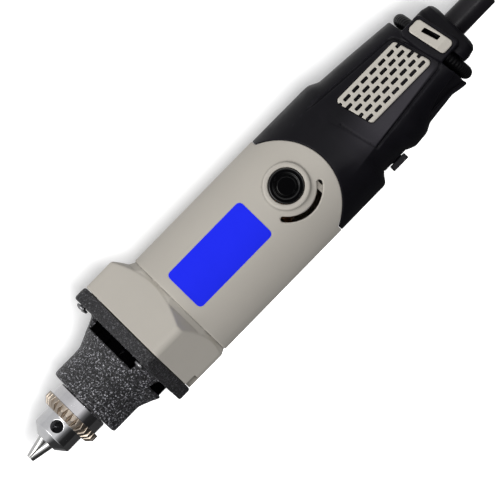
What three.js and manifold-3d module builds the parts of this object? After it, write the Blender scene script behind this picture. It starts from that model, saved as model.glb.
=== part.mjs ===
// Corded rotary hobby tool: keyed chuck, cast nose, motor housing, two-shell rear handle.
// Millimetres. +X runs along the spindle from the chuck (front) to the cord (rear). +Z is the
// top, which carries the label. The slide switch is on the -Y flank.
// Each piece is drawn from a datum on the spindle axis, at the joint between the nose flange and
// the motor housing, then moved so that the origin is the centre of the tool's bounding box.
// Azimuths are degrees about the spindle, from +Z towards -Y.
import * as THREE from 'three';
import { mergeVertices } from 'three/addons/utils/BufferGeometryUtils.js';
import Module from 'manifold-3d';

const wasm = await Module();
wasm.setup();
const { Manifold, Mesh } = wasm;

// ---------------------------------------------------------------- shared dimensions
const GAP = 0.3; // clearance between neighbouring pieces
const DATUM = [-94.25, -3.2265, 0]; // the drawing datum, from the bounding-box centre
const FINENESS = 0.4; // share of the nominal number of facets that each round surface gets
const SIMPLIFY_TOLERANCE = 0.05;

// a start azimuth and the two others that share the circle with it
const thirds = (start) => [start, start + 120, start + 240];

const CHUCK_REAR_X = -38.9;
const SPINDLE_NOSE_R = 4; // spindle end inside the chuck
const SHAFT_R = 5; // rotor shaft
const HUB_BORE_R = SHAFT_R + GAP;
const STACK_X = [26, 72]; // laminated stack of armature and stator
const COMMUTATOR_R = 9.3;

// square flange and the housing block behind it
const FLANGE_CORNER_R = 3.6;
const FLANGE_TURN = -33.3; // azimuth of a face normal
const FLANGE_SCREW_RADIUS = 31.3;
const FLANGE_SCREW_AZIMUTHS = [0, 1, 2].map((k) => FLANGE_TURN + 45 - 90 * k); // at the corners
const FLANGE_HOLE_R = 2.1;

const BARREL_R = 28.7;
const ARCH_X = 88.5; // centre of the arched rear edge of the housing
const SHOULDER_X = 100.1; // straight rear edge on the flanks
const FACE_TILT = 6.4; // label and brush axis lean from +Z towards +Y, degrees
const BRUSH_X = 96.5;

// speed dial ring; its axis tilts from +X towards +Y, degrees
const DIAL = { x: 188.65, radius: 22, bore: 14, thickness: 6.4, tilt: 6.1 };

const BOOT_R = 6.25;
const CORD_R = 3.5;

// slide switch opening in the -Y flank
const SWITCH_X = [132.9, 146.4];
const SWITCH_HALF_HEIGHT = 7;

// ---------------------------------------------------------------- directions and ranges
const RAD = Math.PI / 180;
const AXIS_X = new THREE.Vector3(1, 0, 0);
const AXIS_Y = new THREE.Vector3(0, 1, 0);
const AXIS_Z = new THREE.Vector3(0, 0, 1);

// unit vector across the spindle
const across = (azimuth) =>
  new THREE.Vector3(0, -Math.sin(azimuth * RAD), Math.cos(azimuth * RAD));
// point at a station, radius and azimuth, shifted sideways by offset
const polar = (x, radius, azimuth, offset = 0) =>
  across(azimuth).multiplyScalar(radius).addScaledVector(across(azimuth + 90), offset).setX(x);
const toYZ = ({ y, z }) => [y, z];
const around = (centre, half) => [centre - half, centre + half];
// azimuths of equally spaced features
const spread = (count) => Array.from({ length: count }, (_, i) => (360 * i) / count);

// ---------------------------------------------------------------- solids
// closed manifold from a geometry, turned right side out
function solid(geometry) {
  const bare = new THREE.BufferGeometry()
    .setAttribute('position', geometry.attributes.position)
    .setIndex(geometry.index);
  const merged = mergeVertices(bare, 1e-4);
  const positions = merged.attributes.position.array;
  const triangles = [];
  let volume = 0;
  for (let i = 0; i < merged.index.count; i += 3) {
    const corners = [0, 1, 2].map((k) => merged.index.getX(i + k));
    if (new Set(corners).size < 3) continue;
    triangles.push(...corners);
    const [first, second, third] = corners.map((corner) =>
      new THREE.Vector3().fromArray(positions, corner * 3));
    volume += first.dot(second.cross(third));
  }
  if (volume < 0) {
    for (let i = 0; i < triangles.length; i += 3) {
      [triangles[i + 1], triangles[i + 2]] = [triangles[i + 2], triangles[i + 1]];
    }
  }
  return new Manifold(new Mesh({
    numProp: 3,
    vertProperties: new Float32Array(positions),
    triVerts: new Uint32Array(triangles),
  }));
}

function toGeometry(part) {
  const mesh = part.getMesh();
  const positions = new Float32Array(mesh.numVert * 3);
  for (let i = 0; i < mesh.numVert; i++) {
    for (let k = 0; k < 3; k++) positions[i * 3 + k] = mesh.vertProperties[i * mesh.numProp + k];
  }
  return new THREE.BufferGeometry()
    .setAttribute('position', new THREE.BufferAttribute(positions, 3))
    .setIndex(Array.from(mesh.triVerts));
}

const join = (...parts) => parts.reduce((whole, part) => whole.add(part));
const cut = (body, ...tools) => tools.reduce((rest, part) => rest.subtract(part), body);
const mirrorZ = (part) => part.mirror([0, 0, 1]);

const facets = (nominal) => Math.max(10, 2 * Math.round((nominal * FINENESS) / 2));

// turned shapes about the X axis, from [x, radius] pairs; "nominal" is the facet count
const turned = (profile, nominal = 48) =>
  new THREE.LatheGeometry(
    profile.map(([x, radius]) => new THREE.Vector2(radius, x)), facets(nominal),
  ).rotateZ(-Math.PI / 2);
const discGeometry = ([x0, x1], radius, nominal) =>
  turned([[x0, 0], [x0, radius], [x1, radius], [x1, 0]], nominal);
const ringGeometry = ([x0, x1], [inner, outer], nominal) =>
  turned([[x0, inner], [x0, outer], [x1, outer], [x1, inner], [x0, inner]], nominal);
const lathe = (profile, nominal) => solid(turned(profile, nominal));
const rod = (xRange, radius, nominal) => solid(discGeometry(xRange, radius, nominal));
const tube = (xRange, radii, nominal) => solid(ringGeometry(xRange, radii, nominal));

const boxGeometry = ([x0, x1], [y0, y1], [z0, z1]) =>
  new THREE.BoxGeometry(x1 - x0, y1 - y0, z1 - z0)
    .translate((x0 + x1) / 2, (y0 + y1) / 2, (z0 + z1) / 2);
const box = (...ranges) => solid(boxGeometry(...ranges));
// box that spans a range of radii, turned to an azimuth
const radialBox = (xRange, width, radii, azimuth) =>
  solid(boxGeometry(xRange, around(0, width / 2), radii).rotateX(azimuth * RAD));

// cylinder from a start point, along a direction
const bar = (start, direction, length, radius, nominal) =>
  solid(new THREE.CylinderGeometry(radius, radius, length, facets(nominal))
    .translate(0, length / 2, 0)
    .applyQuaternion(
      new THREE.Quaternion().setFromUnitVectors(AXIS_Y, direction.clone().normalize()))
    .translate(start.x, start.y, start.z));
// cylinder that rises along Z
const post = ([x, y], z, height, radius, nominal) =>
  bar(new THREE.Vector3(x, y, z), AXIS_Z, height, radius, nominal);
// cylinder along X on the axis of a flange screw
const flangeBar = (azimuth, x, length, radius, nominal) =>
  bar(polar(x, FLANGE_SCREW_RADIUS, azimuth), AXIS_X, length, radius, nominal);

const extruded = (outline, depth) =>
  new THREE.ExtrudeGeometry(
    new THREE.Shape(outline.map((point) => new THREE.Vector2(...point))),
    { depth, bevelEnabled: false });
// outline in the XY plane, raised along Z
const plateGeometry = (outline, [z0, z1]) => extruded(outline, z1 - z0).translate(0, 0, z0);
const plate = (outline, zRange) => solid(plateGeometry(outline, zRange));
// outline in the YZ plane, drawn along X
const prism = (outline, [x0, x1]) =>
  solid(extruded(outline, x1 - x0)
    .applyMatrix4(new THREE.Matrix4().makeBasis(AXIS_Y, AXIS_Z, AXIS_X))
    .translate(x0, 0, 0));
// ring sector about the X axis
function sector(xRange, [inner, outer], [start, end], steps) {
  const arc = (radius) => Array.from({ length: steps + 1 }, (_, i) =>
    toYZ(polar(0, radius, start + ((end - start) * i) / steps)));
  return prism([...arc(outer), ...arc(inner).reverse()], xRange);
}

function roundedPolygon(corners, radius) {
  const steps = 3;
  const count = corners.length;
  const outline = [];
  for (let i = 0; i < count; i++) {
    const corner = new THREE.Vector2(...corners[i]);
    const towards = (k) => new THREE.Vector2(...corners[k % count]).sub(corner).normalize();
    const back = towards(i + count - 1);
    const ahead = towards(i + 1);
    const half = Math.acos(THREE.MathUtils.clamp(back.dot(ahead), -1, 1)) / 2;
    const tangent = radius / Math.tan(half);
    const centre = corner.clone().add(
      back.clone().add(ahead).normalize().multiplyScalar(radius / Math.sin(half)));
    const start = corner.clone().addScaledVector(back, tangent).sub(centre);
    const end = corner.clone().addScaledVector(ahead, tangent).sub(centre);
    const startAngle = Math.atan2(start.y, start.x);
    let turn = Math.atan2(end.y, end.x) - startAngle;
    if (turn > Math.PI) turn -= 2 * Math.PI;
    if (turn < -Math.PI) turn += 2 * Math.PI;
    for (let k = 0; k <= steps; k++) {
      const angle = startAngle + (turn * k) / steps;
      outline.push([centre.x + radius * Math.cos(angle), centre.y + radius * Math.sin(angle)]);
    }
  }
  return outline;
}

// closed skin over equal-sized sections, each a list of points
function loft(sections) {
  const count = sections[0].length;
  const positions = sections.flat().flatMap((point) => point.toArray());
  const index = [];
  for (let row = 0; row + 1 < sections.length; row++) {
    for (let i = 0; i < count; i++) {
      const here = row * count + i;
      const next = row * count + ((i + 1) % count);
      index.push(here, next, here + count, next, next + count, here + count);
    }
  }
  for (const row of [0, sections.length - 1]) {
    const centre = new THREE.Vector3();
    for (const point of sections[row]) centre.addScaledVector(point, 1 / count);
    const hub = positions.length / 3;
    positions.push(...centre.toArray());
    for (let i = 0; i < count; i++) {
      const here = row * count + i;
      const next = row * count + ((i + 1) % count);
      index.push(hub, ...(row === 0 ? [next, here] : [here, next]));
    }
  }
  return solid(new THREE.BufferGeometry()
    .setAttribute('position', new THREE.Float32BufferAttribute(positions, 3))
    .setIndex(index));
}

// loft over superellipse stations: x, half width towards +Y, half width towards -Y, half height,
// squareness
function stationLoft(stations, inset = 0, count = 24) {
  return loft(stations.map(([x, plusY, minusY, height, squareness]) =>
    Array.from({ length: count }, (_, i) => {
      const angle = (2 * Math.PI * (i + 0.5)) / count;
      const cos = Math.cos(angle);
      const sin = Math.sin(angle);
      const width = (cos > 0 ? plusY : minusY) - inset;
      return new THREE.Vector3(x,
        Math.sign(cos) * width * Math.abs(cos) ** (2 / squareness),
        Math.sign(sin) * (height - inset) * Math.abs(sin) ** (2 / squareness));
    })));
}

// ---------------------------------------------------------------- materials and assembly
const finish = (settings) => new THREE.MeshStandardMaterial(settings);
const MAT = {
  grey: finish({ color: 0xbdb9b1, roughness: 0.5, metalness: 0 }),
  pale: finish({ color: 0xcac8c0, roughness: 0.5, metalness: 0 }),
  black: finish({ color: 0x24222a, roughness: 0.6, metalness: 0 }),
  gloss: finish({ color: 0x101014, roughness: 0.2, metalness: 0 }),
  crackle: finish({ color: 0x2b2b2f, roughness: 0.75, metalness: 0.2 }),
  chrome: finish({ color: 0xd8d8da, roughness: 0.12, metalness: 1 }),
  steel: finish({ color: 0x9a9088, roughness: 0.35, metalness: 1 }),
  screw: finish({ color: 0x2a2a2c, roughness: 0.35, metalness: 0.8 }),
  blue: finish({ color: 0x1e2df0, roughness: 0.5, metalness: 0 }),
  copper: finish({ color: 0xb46a35, roughness: 0.35, metalness: 1 }),
  iron: finish({ color: 0x5f6064, roughness: 0.5, metalness: 0.9 }),
  carbon: finish({ color: 0x2e2e30, roughness: 0.7, metalness: 0.1 }),
  brass: finish({ color: 0xc29a4e, roughness: 0.35, metalness: 1 }),
  rubber: finish({ color: 0x1b1b1d, roughness: 0.7, metalness: 0 }),
  board: finish({ color: 0x1f5a36, roughness: 0.5, metalness: 0 }),
  white: finish({ color: 0xd9d6c8, roughness: 0.5, metalness: 0 }),
};

const tool = new THREE.Group();
tool.name = 'rotary_hobby_tool';

function add(name, part, material) {
  const geometry = toGeometry(part.simplify(SIMPLIFY_TOLERANCE));
  geometry.computeVertexNormals();
  const mesh = new THREE.Mesh(geometry, material);
  mesh.name = name;
  mesh.position.set(...DATUM);
  tool.add(mesh);
}

// ---------------------------------------------------------------- keyed three-jaw chuck
const JAW = {
  tipX: -73.5, // front end of the closed jaws
  length: 22, // along the spindle
  radius: 2.3, // of the round bar
  angle: 14, // inclination to the spindle, degrees
  tipOffset: -0.47, // bar axis from the spindle axis at the tip
  gripRadius: 0.3, // gripping edge from the spindle axis
  azimuths: thirds(52),
};
const KEY_HOLE = { x: -54.4, radius: 3, floor: 5.2, azimuths: thirds(JAW.azimuths[0] - 60) };
const CHUCK_BODY_R = 10.2;
const SLEEVE_R = 13.2;
const SLEEVE_REAR_X = -38.6;
const GEAR = { front: -50.3, rear: -44.8, radius: 15, teeth: 24 };

// x, radius: cone, barrel, then the groove for the nut between two collars
const CHUCK_PROFILE = [
  [-63, 0], [-63, 5.4], [-59.4, CHUCK_BODY_R - 0.3], [-59, CHUCK_BODY_R],
  [-50.6, CHUCK_BODY_R], [-50.6, 10.9], [-48.9, 10.9], [-48.9, 7.6], [-43.1, 7.6],
  [-43.1, 10.9], [CHUCK_REAR_X, 10.9], [CHUCK_REAR_X, 0],
];
const SLEEVE_PROFILE = [
  [GEAR.front, 11.2], [GEAR.front, 12.6], [-47.6, GEAR.radius], [GEAR.rear, GEAR.radius],
  [GEAR.rear, SLEEVE_R], [SLEEVE_REAR_X - 0.5, SLEEVE_R], [SLEEVE_REAR_X, SLEEVE_R - 0.5],
  [SLEEVE_REAR_X, 11.25], [-42.6, 11.25], [-42.6, 12.2], [-49.4, 12.2], [-49.4, 11.2],
  [GEAR.front, 11.2],
];
// sideways offset, radius beyond the gripping edge: 120 degree wedge
const JAW_WEDGE = [[0, 0], [17.32, 10], [17.32, 16], [-17.32, 16], [-17.32, 10]];

function jawBar(azimuth, x0, x1, radius) {
  const slope = Math.tan(JAW.angle * RAD);
  const pointAt = (x) => polar(x, JAW.tipOffset + (x - JAW.tipX) * slope, azimuth);
  const start = pointAt(x0);
  const end = pointAt(x1);
  return bar(start, end.clone().sub(start), start.distanceTo(end), radius, 24);
}

function chuckBody() {
  return cut(
    lathe(CHUCK_PROFILE),
    ...JAW.azimuths.map((azimuth) => jawBar(azimuth, -76, -36, JAW.radius + 0.35)),
    ...KEY_HOLE.azimuths.map((azimuth) =>
      bar(polar(KEY_HOLE.x, KEY_HOLE.floor, azimuth), across(azimuth), 12, KEY_HOLE.radius, 24)),
    rod([-44.8, -38], SPINDLE_NOSE_R + GAP, 24));
}

// tapered V groove across the front bevel of the sleeve
const toothGap = (azimuth) => loft([
  [polar(-51, 12.35, azimuth), polar(-51, 17, azimuth, -1.1), polar(-51, 17, azimuth, 1.1)],
  [polar(-46.3, 14.6, azimuth), polar(-46.3, 17, azimuth, -0.5), polar(-46.3, 17, azimuth, 0.5)],
]);

// inclined round bar, ground to a wedge along its gripping side
function chuckJaw(azimuth) {
  const wedge = JAW_WEDGE.map(([offset, radius]) =>
    toYZ(polar(0, radius + JAW.gripRadius, azimuth, offset)));
  const rearX = JAW.tipX + JAW.length;
  return jawBar(azimuth, JAW.tipX - 2, rearX, JAW.radius)
    .intersect(prism(wedge, [JAW.tipX, rearX + 5]));
}

add('chuck_body', chuckBody(), MAT.chrome);
add('chuck_sleeve',
  cut(lathe(SLEEVE_PROFILE, 60), Manifold.union(spread(GEAR.teeth).map(toothGap))), MAT.steel);
add('chuck_nut', lathe([
  [-48.5, 8.75], [-48.5, 11.9], [-43.5, 11.9], [-43.5, 9.95], [-48.5, 8.75],
], 36), MAT.steel);
JAW.azimuths.forEach((azimuth, i) => add(`chuck_jaw_${i + 1}`, chuckJaw(azimuth), MAT.chrome));

// ---------------------------------------------------------------- spindle and bearings
add('spindle', lathe([
  [-44.4, 0], [-44.4, 3.6], [-44, SPINDLE_NOSE_R], [CHUCK_REAR_X + 0.4, SPINDLE_NOSE_R],
  [CHUCK_REAR_X + 0.4, 6], [-27, 6], [-27, 6.6], [-25.4, 6.6], [-25.4, SHAFT_R],
  [106.2, SHAFT_R], [106.2, 4], [118.4, 4], [118.8, 3.6], [118.8, 0],
], 32), MAT.iron);

// outer race with its side shields: a ring with a groove facing the axis
const outerRace = ([x0, x1], inner, groove, outer) => lathe([
  [x0, inner], [x0, outer], [x1, outer], [x1, inner], [x1 - 0.6, inner], [x1 - 0.6, groove],
  [x0 + 0.6, groove], [x0 + 0.6, inner], [x0, inner],
], 36);
const FRONT_BEARING_X = [-36.1, -28.1];
const REAR_BEARING_X = [108.6, 115.4];
add('front_bearing_inner', tube(FRONT_BEARING_X, [6.3, 8.7], 36), MAT.chrome);
add('front_bearing_outer', outerRace(FRONT_BEARING_X, 9.1, 11.6, 14), MAT.chrome);
add('front_bearing_circlip',
  cut(tube([-27.7, -26.6], [12.2, 14], 36), box([-30, -25], [-2.5, 2.5], [10, 16])), MAT.iron);
add('rear_bearing_inner', tube(REAR_BEARING_X, [4.3, 6], 32), MAT.chrome);
add('rear_bearing_outer', outerRace(REAR_BEARING_X, 6.4, 9, 11), MAT.chrome);
add('rear_bearing_bush', tube([109.4, REAR_BEARING_X[1]], [11.3, 12.5], 36), MAT.rubber);

// ---------------------------------------------------------------- fan and baffle
// hub, back plate and straight blades that run outwards
function coolingFan() {
  const radius = 18;
  const firstBlade = 0.1 / RAD;
  return join(
    tube([-17.6, -7.8], [HUB_BORE_R, 8], 32),
    tube([-9.4, -7.8], [6.5, radius]),
    ...spread(20).map((azimuth) =>
      radialBox([-17.6, -8.4], 1.2, [7.4, 17.8], azimuth + firstBlade)),
  ).intersect(rod([-18, -7], radius));
}
add('cooling_fan', coolingFan(), MAT.black);
add('air_baffle', lathe([
  [8, 24.9], [14.5, 24.9], [14.5, 23.5], [9.6, 23.5], [9.6, 17], [8, 17], [8, 24.9],
]), MAT.black);

// ---------------------------------------------------------------- armature
const ARMATURE_R = 14;
const ARMATURE_SLOTS = spread(10);
const COMMUTATOR_X = [86, 104];

function armatureCore() {
  const slotX = [STACK_X[0] - 1, STACK_X[1] + 1];
  return cut(
    tube(STACK_X, [HUB_BORE_R, ARMATURE_R]),
    Manifold.union(ARMATURE_SLOTS.flatMap((azimuth) => [
      radialBox(slotX, 2.8, [8.4, 12.9], azimuth),
      radialBox(slotX, 0.9, [12.4, 15], azimuth), // narrow mouth of the slot
    ])));
}

// two end turns, joined by a bar through each slot
function armatureWinding() {
  const frontTurns = lathe([
    [17.5, 8], [17, 9.4], [18.4, 12], [24, 12.6], [25.6, 12.4], [25.6, 7], [22, 6.2], [17.5, 8],
  ], 36);
  const rearTurns = lathe([
    [72.4, 7], [72.4, 12.4], [75, 12.6], [80, 11.6], [82, 9.2], [81.4, 7.4], [76, 6.2],
    [72.4, 7],
  ], 36);
  return join(frontTurns, rearTurns, Manifold.union(ARMATURE_SLOTS.map((azimuth) =>
    radialBox([24.5, 73.5], 2.1, [8.8, 12.3], azimuth))));
}

function commutator() {
  const slitX = [COMMUTATOR_X[0] + 1.4, COMMUTATOR_X[0] + 21.4];
  return cut(
    join(tube(COMMUTATOR_X, [HUB_BORE_R, COMMUTATOR_R]), tube([84.6, 87.2], [HUB_BORE_R, 10.9])),
    Manifold.union(spread(12).map((azimuth) =>
      radialBox(slitX, 0.6, [8.3, 10.5], azimuth + 15))));
}

add('armature_core', armatureCore(), MAT.iron);
add('armature_winding', armatureWinding(), MAT.copper);
add('commutator', commutator(), MAT.copper);

// ---------------------------------------------------------------- stator
// laminated ring with a wide recess on each flank, leaving a pole at top and bottom
add('stator_core', cut(
  tube(STACK_X, [14.6, 25.9], 64),
  ...[90, 270].map((azimuth) => sector([20, 80], [13.5, 22], around(azimuth, 43), 8)),
), MAT.iron);
for (const [side, azimuth] of [['top', 0], ['bottom', 180]]) {
  add(`field_coil_${side}`, cut(
    sector([18.6, 79.4], [15, 21.6], around(azimuth, 84), 12),
    sector([25, 73], [14, 23], around(azimuth, 48.5), 8),
  ), MAT.copper);
}

// ---------------------------------------------------------------- brush gear
const SPRING = { radius: 1.9, start: 18.95, length: 6.2, turns: 4, wireRadius: 0.35 };

class SpringPath extends THREE.Curve {
  constructor(azimuth) {
    super();
    this.azimuth = azimuth;
  }

  getPoint(t, target = new THREE.Vector3()) {
    const angle = t * 2 * Math.PI * SPRING.turns;
    target.set(
      SPRING.radius * Math.cos(angle),
      SPRING.radius * Math.sin(angle),
      SPRING.start + SPRING.length * t);
    target.applyAxisAngle(AXIS_X, this.azimuth * RAD);
    target.x += BRUSH_X;
    return target;
  }
}

function brushSpring(azimuth) {
  const wire = new THREE.Shape();
  wire.absarc(0, 0, SPRING.wireRadius, 0, 2 * Math.PI, false);
  return solid(new THREE.ExtrudeGeometry(wire, {
    steps: 30,
    curveSegments: 2,
    bevelEnabled: false,
    extrudePath: new SpringPath(azimuth),
  }));
}

// cap with an annular groove and a screwdriver slot in its outer face
function brushCap(azimuth) {
  const disc = (radius, height, length, nominal) =>
    bar(polar(BRUSH_X, height, azimuth), across(azimuth), length, radius, nominal);
  const groove = cut(disc(5.9, 29.4, 3, 32), disc(5, 28, 5, 32));
  return cut(disc(8.2, 26.8, 3.4, 40), groove,
    radialBox(around(BRUSH_X, 4.8), 1.6, [28.9, 31.9], azimuth));
}

for (const [side, azimuth] of [['top', -FACE_TILT], ['bottom', 180 - FACE_TILT]]) {
  const block = (length, width, radii) =>
    radialBox(around(BRUSH_X, length / 2), width, radii, azimuth);
  add(`brush_holder_${side}`,
    cut(block(11, 8.6, [10.9, 26.3]), block(8.6, 6.2, [10, 27])), MAT.brass);
  add(`carbon_brush_${side}`, block(8, 5.6, [COMMUTATOR_R + 0.35, 18.4]), MAT.carbon);
  add(`brush_spring_${side}`, brushSpring(azimuth), MAT.steel);
  add(`brush_cap_${side}`, brushCap(azimuth), MAT.gloss);
}

// ---------------------------------------------------------------- nose casting
// rounded square shared by the flange and the housing block; the corner that would reach
// furthest towards -Y is cut flat at cutY
function squareOutline(half, cutY) {
  const corners = [0, 1, 2, 3].map((k) => {
    const normal = across(FLANGE_TURN + 90 * k);
    const nextNormal = across(FLANGE_TURN + 90 * (k + 1));
    return [(normal.y + nextNormal.y) * half, (normal.z + nextNormal.z) * half];
  });
  const points = roundedPolygon(corners, FLANGE_CORNER_R);
  return points.flatMap(([y, z], i) => {
    const [nextY, nextZ] = points[(i + 1) % points.length];
    const kept = y >= cutY ? [[y, z]] : [];
    if (y >= cutY !== nextY >= cutY) {
      kept.push([cutY, z + ((nextZ - z) * (cutY - y)) / (nextY - y)]);
    }
    return kept;
  });
}

const NOSE_FRONT_X = -38.2;
const COLLAR_R = 18.9;
const BELL_LIP_X = -12.1;
const FLANGE_FRONT_X = -7.05;
const VENT = { azimuths: thirds(-32), span: 88 };
const NOSE_PROFILE = [
  [NOSE_FRONT_X, 0], [NOSE_FRONT_X, COLLAR_R - 0.8], [NOSE_FRONT_X + 0.8, COLLAR_R],
  [-23, COLLAR_R], [-20.5, 19.5], [-16, 21.4], [-13.6, 22.7], [BELL_LIP_X, 23.1],
  [-9.5, 24.2], [-6.5, 25.6], [-0.4, 25.6], [-0.4, 0],
];
const NOSE_BORE = [
  [-40, 0], [-40, 9.5], [-36.5, 9.5], [-36.5, 14.35], [-20, 14.35], [-18.9, 18.7],
  [-12, 20.7], [-7, 22.6], [1, 22.6], [1, 0],
];

function noseCasting() {
  const body = join(
    lathe(NOSE_PROFILE, 60), prism(squareOutline(27.4, -30.1), [FLANGE_FRONT_X, -GAP / 2]));
  const vented = cut(body, lathe(NOSE_BORE, 60), ...VENT.azimuths.map((azimuth) =>
    sector([BELL_LIP_X, FLANGE_FRONT_X], [17, 30], around(azimuth, VENT.span / 2), 8)));
  // slotted guard ring between the vents and the fan
  const guarded = join(vented, tube([-13, -1], [21, 21.9]), tube([-3, -1], [21, 23]));
  return cut(guarded,
    Manifold.union(spread(18).map((azimuth) =>
      radialBox([-11.9, -7.3], 1.6, [19.6, 22.2], azimuth))),
    ...FLANGE_SCREW_AZIMUTHS.map((azimuth) => flangeBar(azimuth, -12, 14, FLANGE_HOLE_R, 16)));
}

// cheese-head screw with a cross slot
function flangeScrew(azimuth) {
  const { y, z } = polar(0, FLANGE_SCREW_RADIUS, azimuth);
  const slotX = around(-9.6, 1);
  return cut(
    join(flangeBar(azimuth, -9.3, 1.9, 3.05, 24), flangeBar(azimuth, -7.6, 18.6, 1.75, 16)),
    box(slotX, around(y, 0.45), around(z, 2.1)),
    box(slotX, around(y, 2.1), around(z, 0.45)));
}

add('nose_casting', noseCasting(), MAT.crackle);
FLANGE_SCREW_AZIMUTHS.forEach((azimuth, i) =>
  add(`flange_screw_${i + 1}`, flangeScrew(azimuth), MAT.screw));

// ---------------------------------------------------------------- motor housing
const BLOCK_HALF = 27.07; // half side of the square block
const BARREL_X = 24.8; // front of the full barrel
const BLOCK_TAPER = 0.78; // fall in radius of the block's corners per unit of x
const BARREL_PROFILE = [
  [0.5, 0], [0.5, BLOCK_HALF - 0.6], [22.5, BLOCK_HALF], [BARREL_X, BARREL_R],
  [117.2, BARREL_R], [117.2, 0],
];
const HOUSING_BORE = [
  [-1, 0], [-1, 25.2], [24, 25.2], [25, 26.2], [118, 26.2], [118, 0],
];
const CUP = { bore: 12.8, radius: 15.2 }; // rear bearing cup
const AIR_SLOT = { inner: 13.7, outer: 16.3, start: -141.5 * RAD, end: -38.5 * RAD };
const LABEL = { x: [29.6, 76.9], width: 21.6, cornerR: 2.3 };

// space in front of the housing's rear edge: straight on the flanks, arched at top and bottom
const rearEdgeSpace = (gap) => join(
  box([-1, SHOULDER_X + gap], [-60, 60], [-60, 60]),
  post([ARCH_X, 0], -50, 100, BARREL_R + gap, 64));

// curved slots in front of the -Y side of each brush cap are cut by one block through the tool
function airSlots() {
  const { inner, outer, start, end } = AIR_SLOT;
  const outline = new THREE.Shape();
  outline.absarc(0, 0, outer, start, end, false);
  outline.absarc(0, 0, inner, end, start, true);
  return solid(
    new THREE.ExtrudeGeometry(outline, { depth: 100, bevelEnabled: false, curveSegments: 7 })
      .translate(0, 0, -50)
      .rotateX(-FACE_TILT * RAD)
      .translate(BRUSH_X, 0, 0));
}

// label outline grown by a margin, standing on the tilted label face
function labelBlock(margin) {
  const x0 = LABEL.x[0] - margin;
  const x1 = LABEL.x[1] + margin;
  const half = LABEL.width / 2 + margin;
  const outline = roundedPolygon(
    [[x0, -half], [x1, -half], [x1, half], [x0, half]], LABEL.cornerR);
  return solid(plateGeometry(outline, [20, 40]).rotateX(-FACE_TILT * RAD));
}

function motorHousing() {
  const block = prism(squareOutline(BLOCK_HALF, -29.4), [GAP / 2, BARREL_X]).intersect(lathe([
    [0, 0], [0, BARREL_R + BLOCK_TAPER * BARREL_X], [BARREL_X, BARREL_R], [BARREL_X, 0],
  ], 72));
  const brushBar = (half, radius, nominal) =>
    bar(polar(BRUSH_X, -half, -FACE_TILT), across(-FACE_TILT), 2 * half, radius, nominal);
  let housing = join(block, lathe(BARREL_PROFILE, 72), brushBar(29.9, 10.9, 48));
  housing = cut(housing, lathe(HOUSING_BORE, 72), brushBar(40, 8.5, 40));
  housing = housing.intersect(rearEdgeSpace(0));
  housing = cut(housing,
    airSlots(),
    box([-1, 6.1], [-40, -27.2], [-20, 12])); // notch at the cut corner of the flange
  // rear bearing bridge and cup, held by the two tongues of the arched edge
  housing = join(housing,
    box([105.6, 108.2], [-12, 12], [-26.9, 26.9]),
    tube([105.6, 115.6], [CUP.bore, CUP.radius], 40));
  return cut(housing,
    rod([104, 110], 6.6, 32),
    rod([108.3, 117], CUP.bore, 40),
    ...FLANGE_SCREW_AZIMUTHS.map((azimuth) => flangeBar(azimuth, -1, 13, FLANGE_HOLE_R, 16)),
    labelBlock(GAP).intersect(tube([20, 90], [BARREL_R - 0.8, 40], 72)));
}

add('motor_housing', motorHousing(), MAT.grey);
add('name_label',
  labelBlock(0).intersect(tube([20, 90], [BARREL_R - 0.45, BARREL_R + 0.05], 72)), MAT.blue);

// ---------------------------------------------------------------- handle shells
// station tables for stationLoft: x, half width +Y, half width -Y, half height, squareness
const HANDLE = [
  [98.0, 28.5, 28.6, 28.7, 2.0],
  [117.0, 28.3, 28.6, 28.5, 2.1],
  [129.0, 28.2, 28.6, 27.7, 2.3],
  [132.2, 28.2, 23.9, 27.3, 2.5],
  [136.2, 28.2, 23.9, 26.9, 2.6],
  [140.8, 25.6, 24.0, 26.3, 2.8],
  [146.3, 25.2, 24.2, 25.9, 2.8],
  [150.8, 24.9, 26.2, 25.6, 2.8],
  [159.0, 24.2, 25.6, 25.1, 2.8],
  [162.7, 23.9, 23.3, 24.9, 2.8],
  [181.3, 22.2, 21.7, 24.5, 2.8],
  [190.0, 21.5, 21.4, 24.3, 2.8],
];
const HANDLE_WALL = 2.4;
const CAVITY = [ // before the wall thickness is taken off
  [98.0, 28.5, 28.6, 28.7, 2.0],
  [119.0, 28.2, 28.5, 28.0, 2.1],
  [127.0, 28.0, 28.3, 24.6, 2.4],
  [132.0, 25.8, 23.9, 24.2, 2.5],
  [162.5, 23.9, 23.3, 24.0, 2.8],
  [179.6, 22.4, 21.9, 23.6, 2.8],
];
const TAIL = [
  [190.0, 15.2, 15.2, 21.5, 6],
  [197.5, 15.2, 15.2, 21.2, 6],
  [200.4, 13.6, 13.6, 19.0, 5],
  [202.2, 11.0, 11.0, 15.0, 4],
];
// outlines: x, y
const PANEL = [
  [131.0, 20.6], [175.9, 16.4], [178.9, 15.0], [185.2, -7.1], [182.7, -9.0], [137.6, -13.9],
];
const GRILLE = [[139.2, 14.2], [177.6, 14.2], [183.4, -4.9], [144.0, -4.9]];
const BEZEL = [[185.0, 13.6], [192.6, 13.6], [196.4, -5.8], [189.0, -6.0]];
const WINDOW = [[189.2, 8.6], [191.7, 8.6], [194.1, 0.6], [191.6, 0.6]];
const BRIDGE = [[181.5, 14.6], [194.5, 14.6], [198.2, -7.6], [184.2, -7.6]];
const PANEL_Z = 24; // floor of the recess around the grille
const GRILLE_CORNER_R = 2.2;
const DUST_SLOT_YS = [9.8, 6.45, 3.1, -0.3];
const BOSSES = [[123.5, 17.5], [123.5, -19.5], [173.5, 15.0], [173.5, -15.5]]; // x, y

const placeOnDial = (geometry) =>
  solid(geometry.rotateZ(DIAL.tilt * RAD).translate(DIAL.x, 0, 0));
const DIAL_ROOM_HALF = DIAL.thickness / 2 + 0.5;
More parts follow.
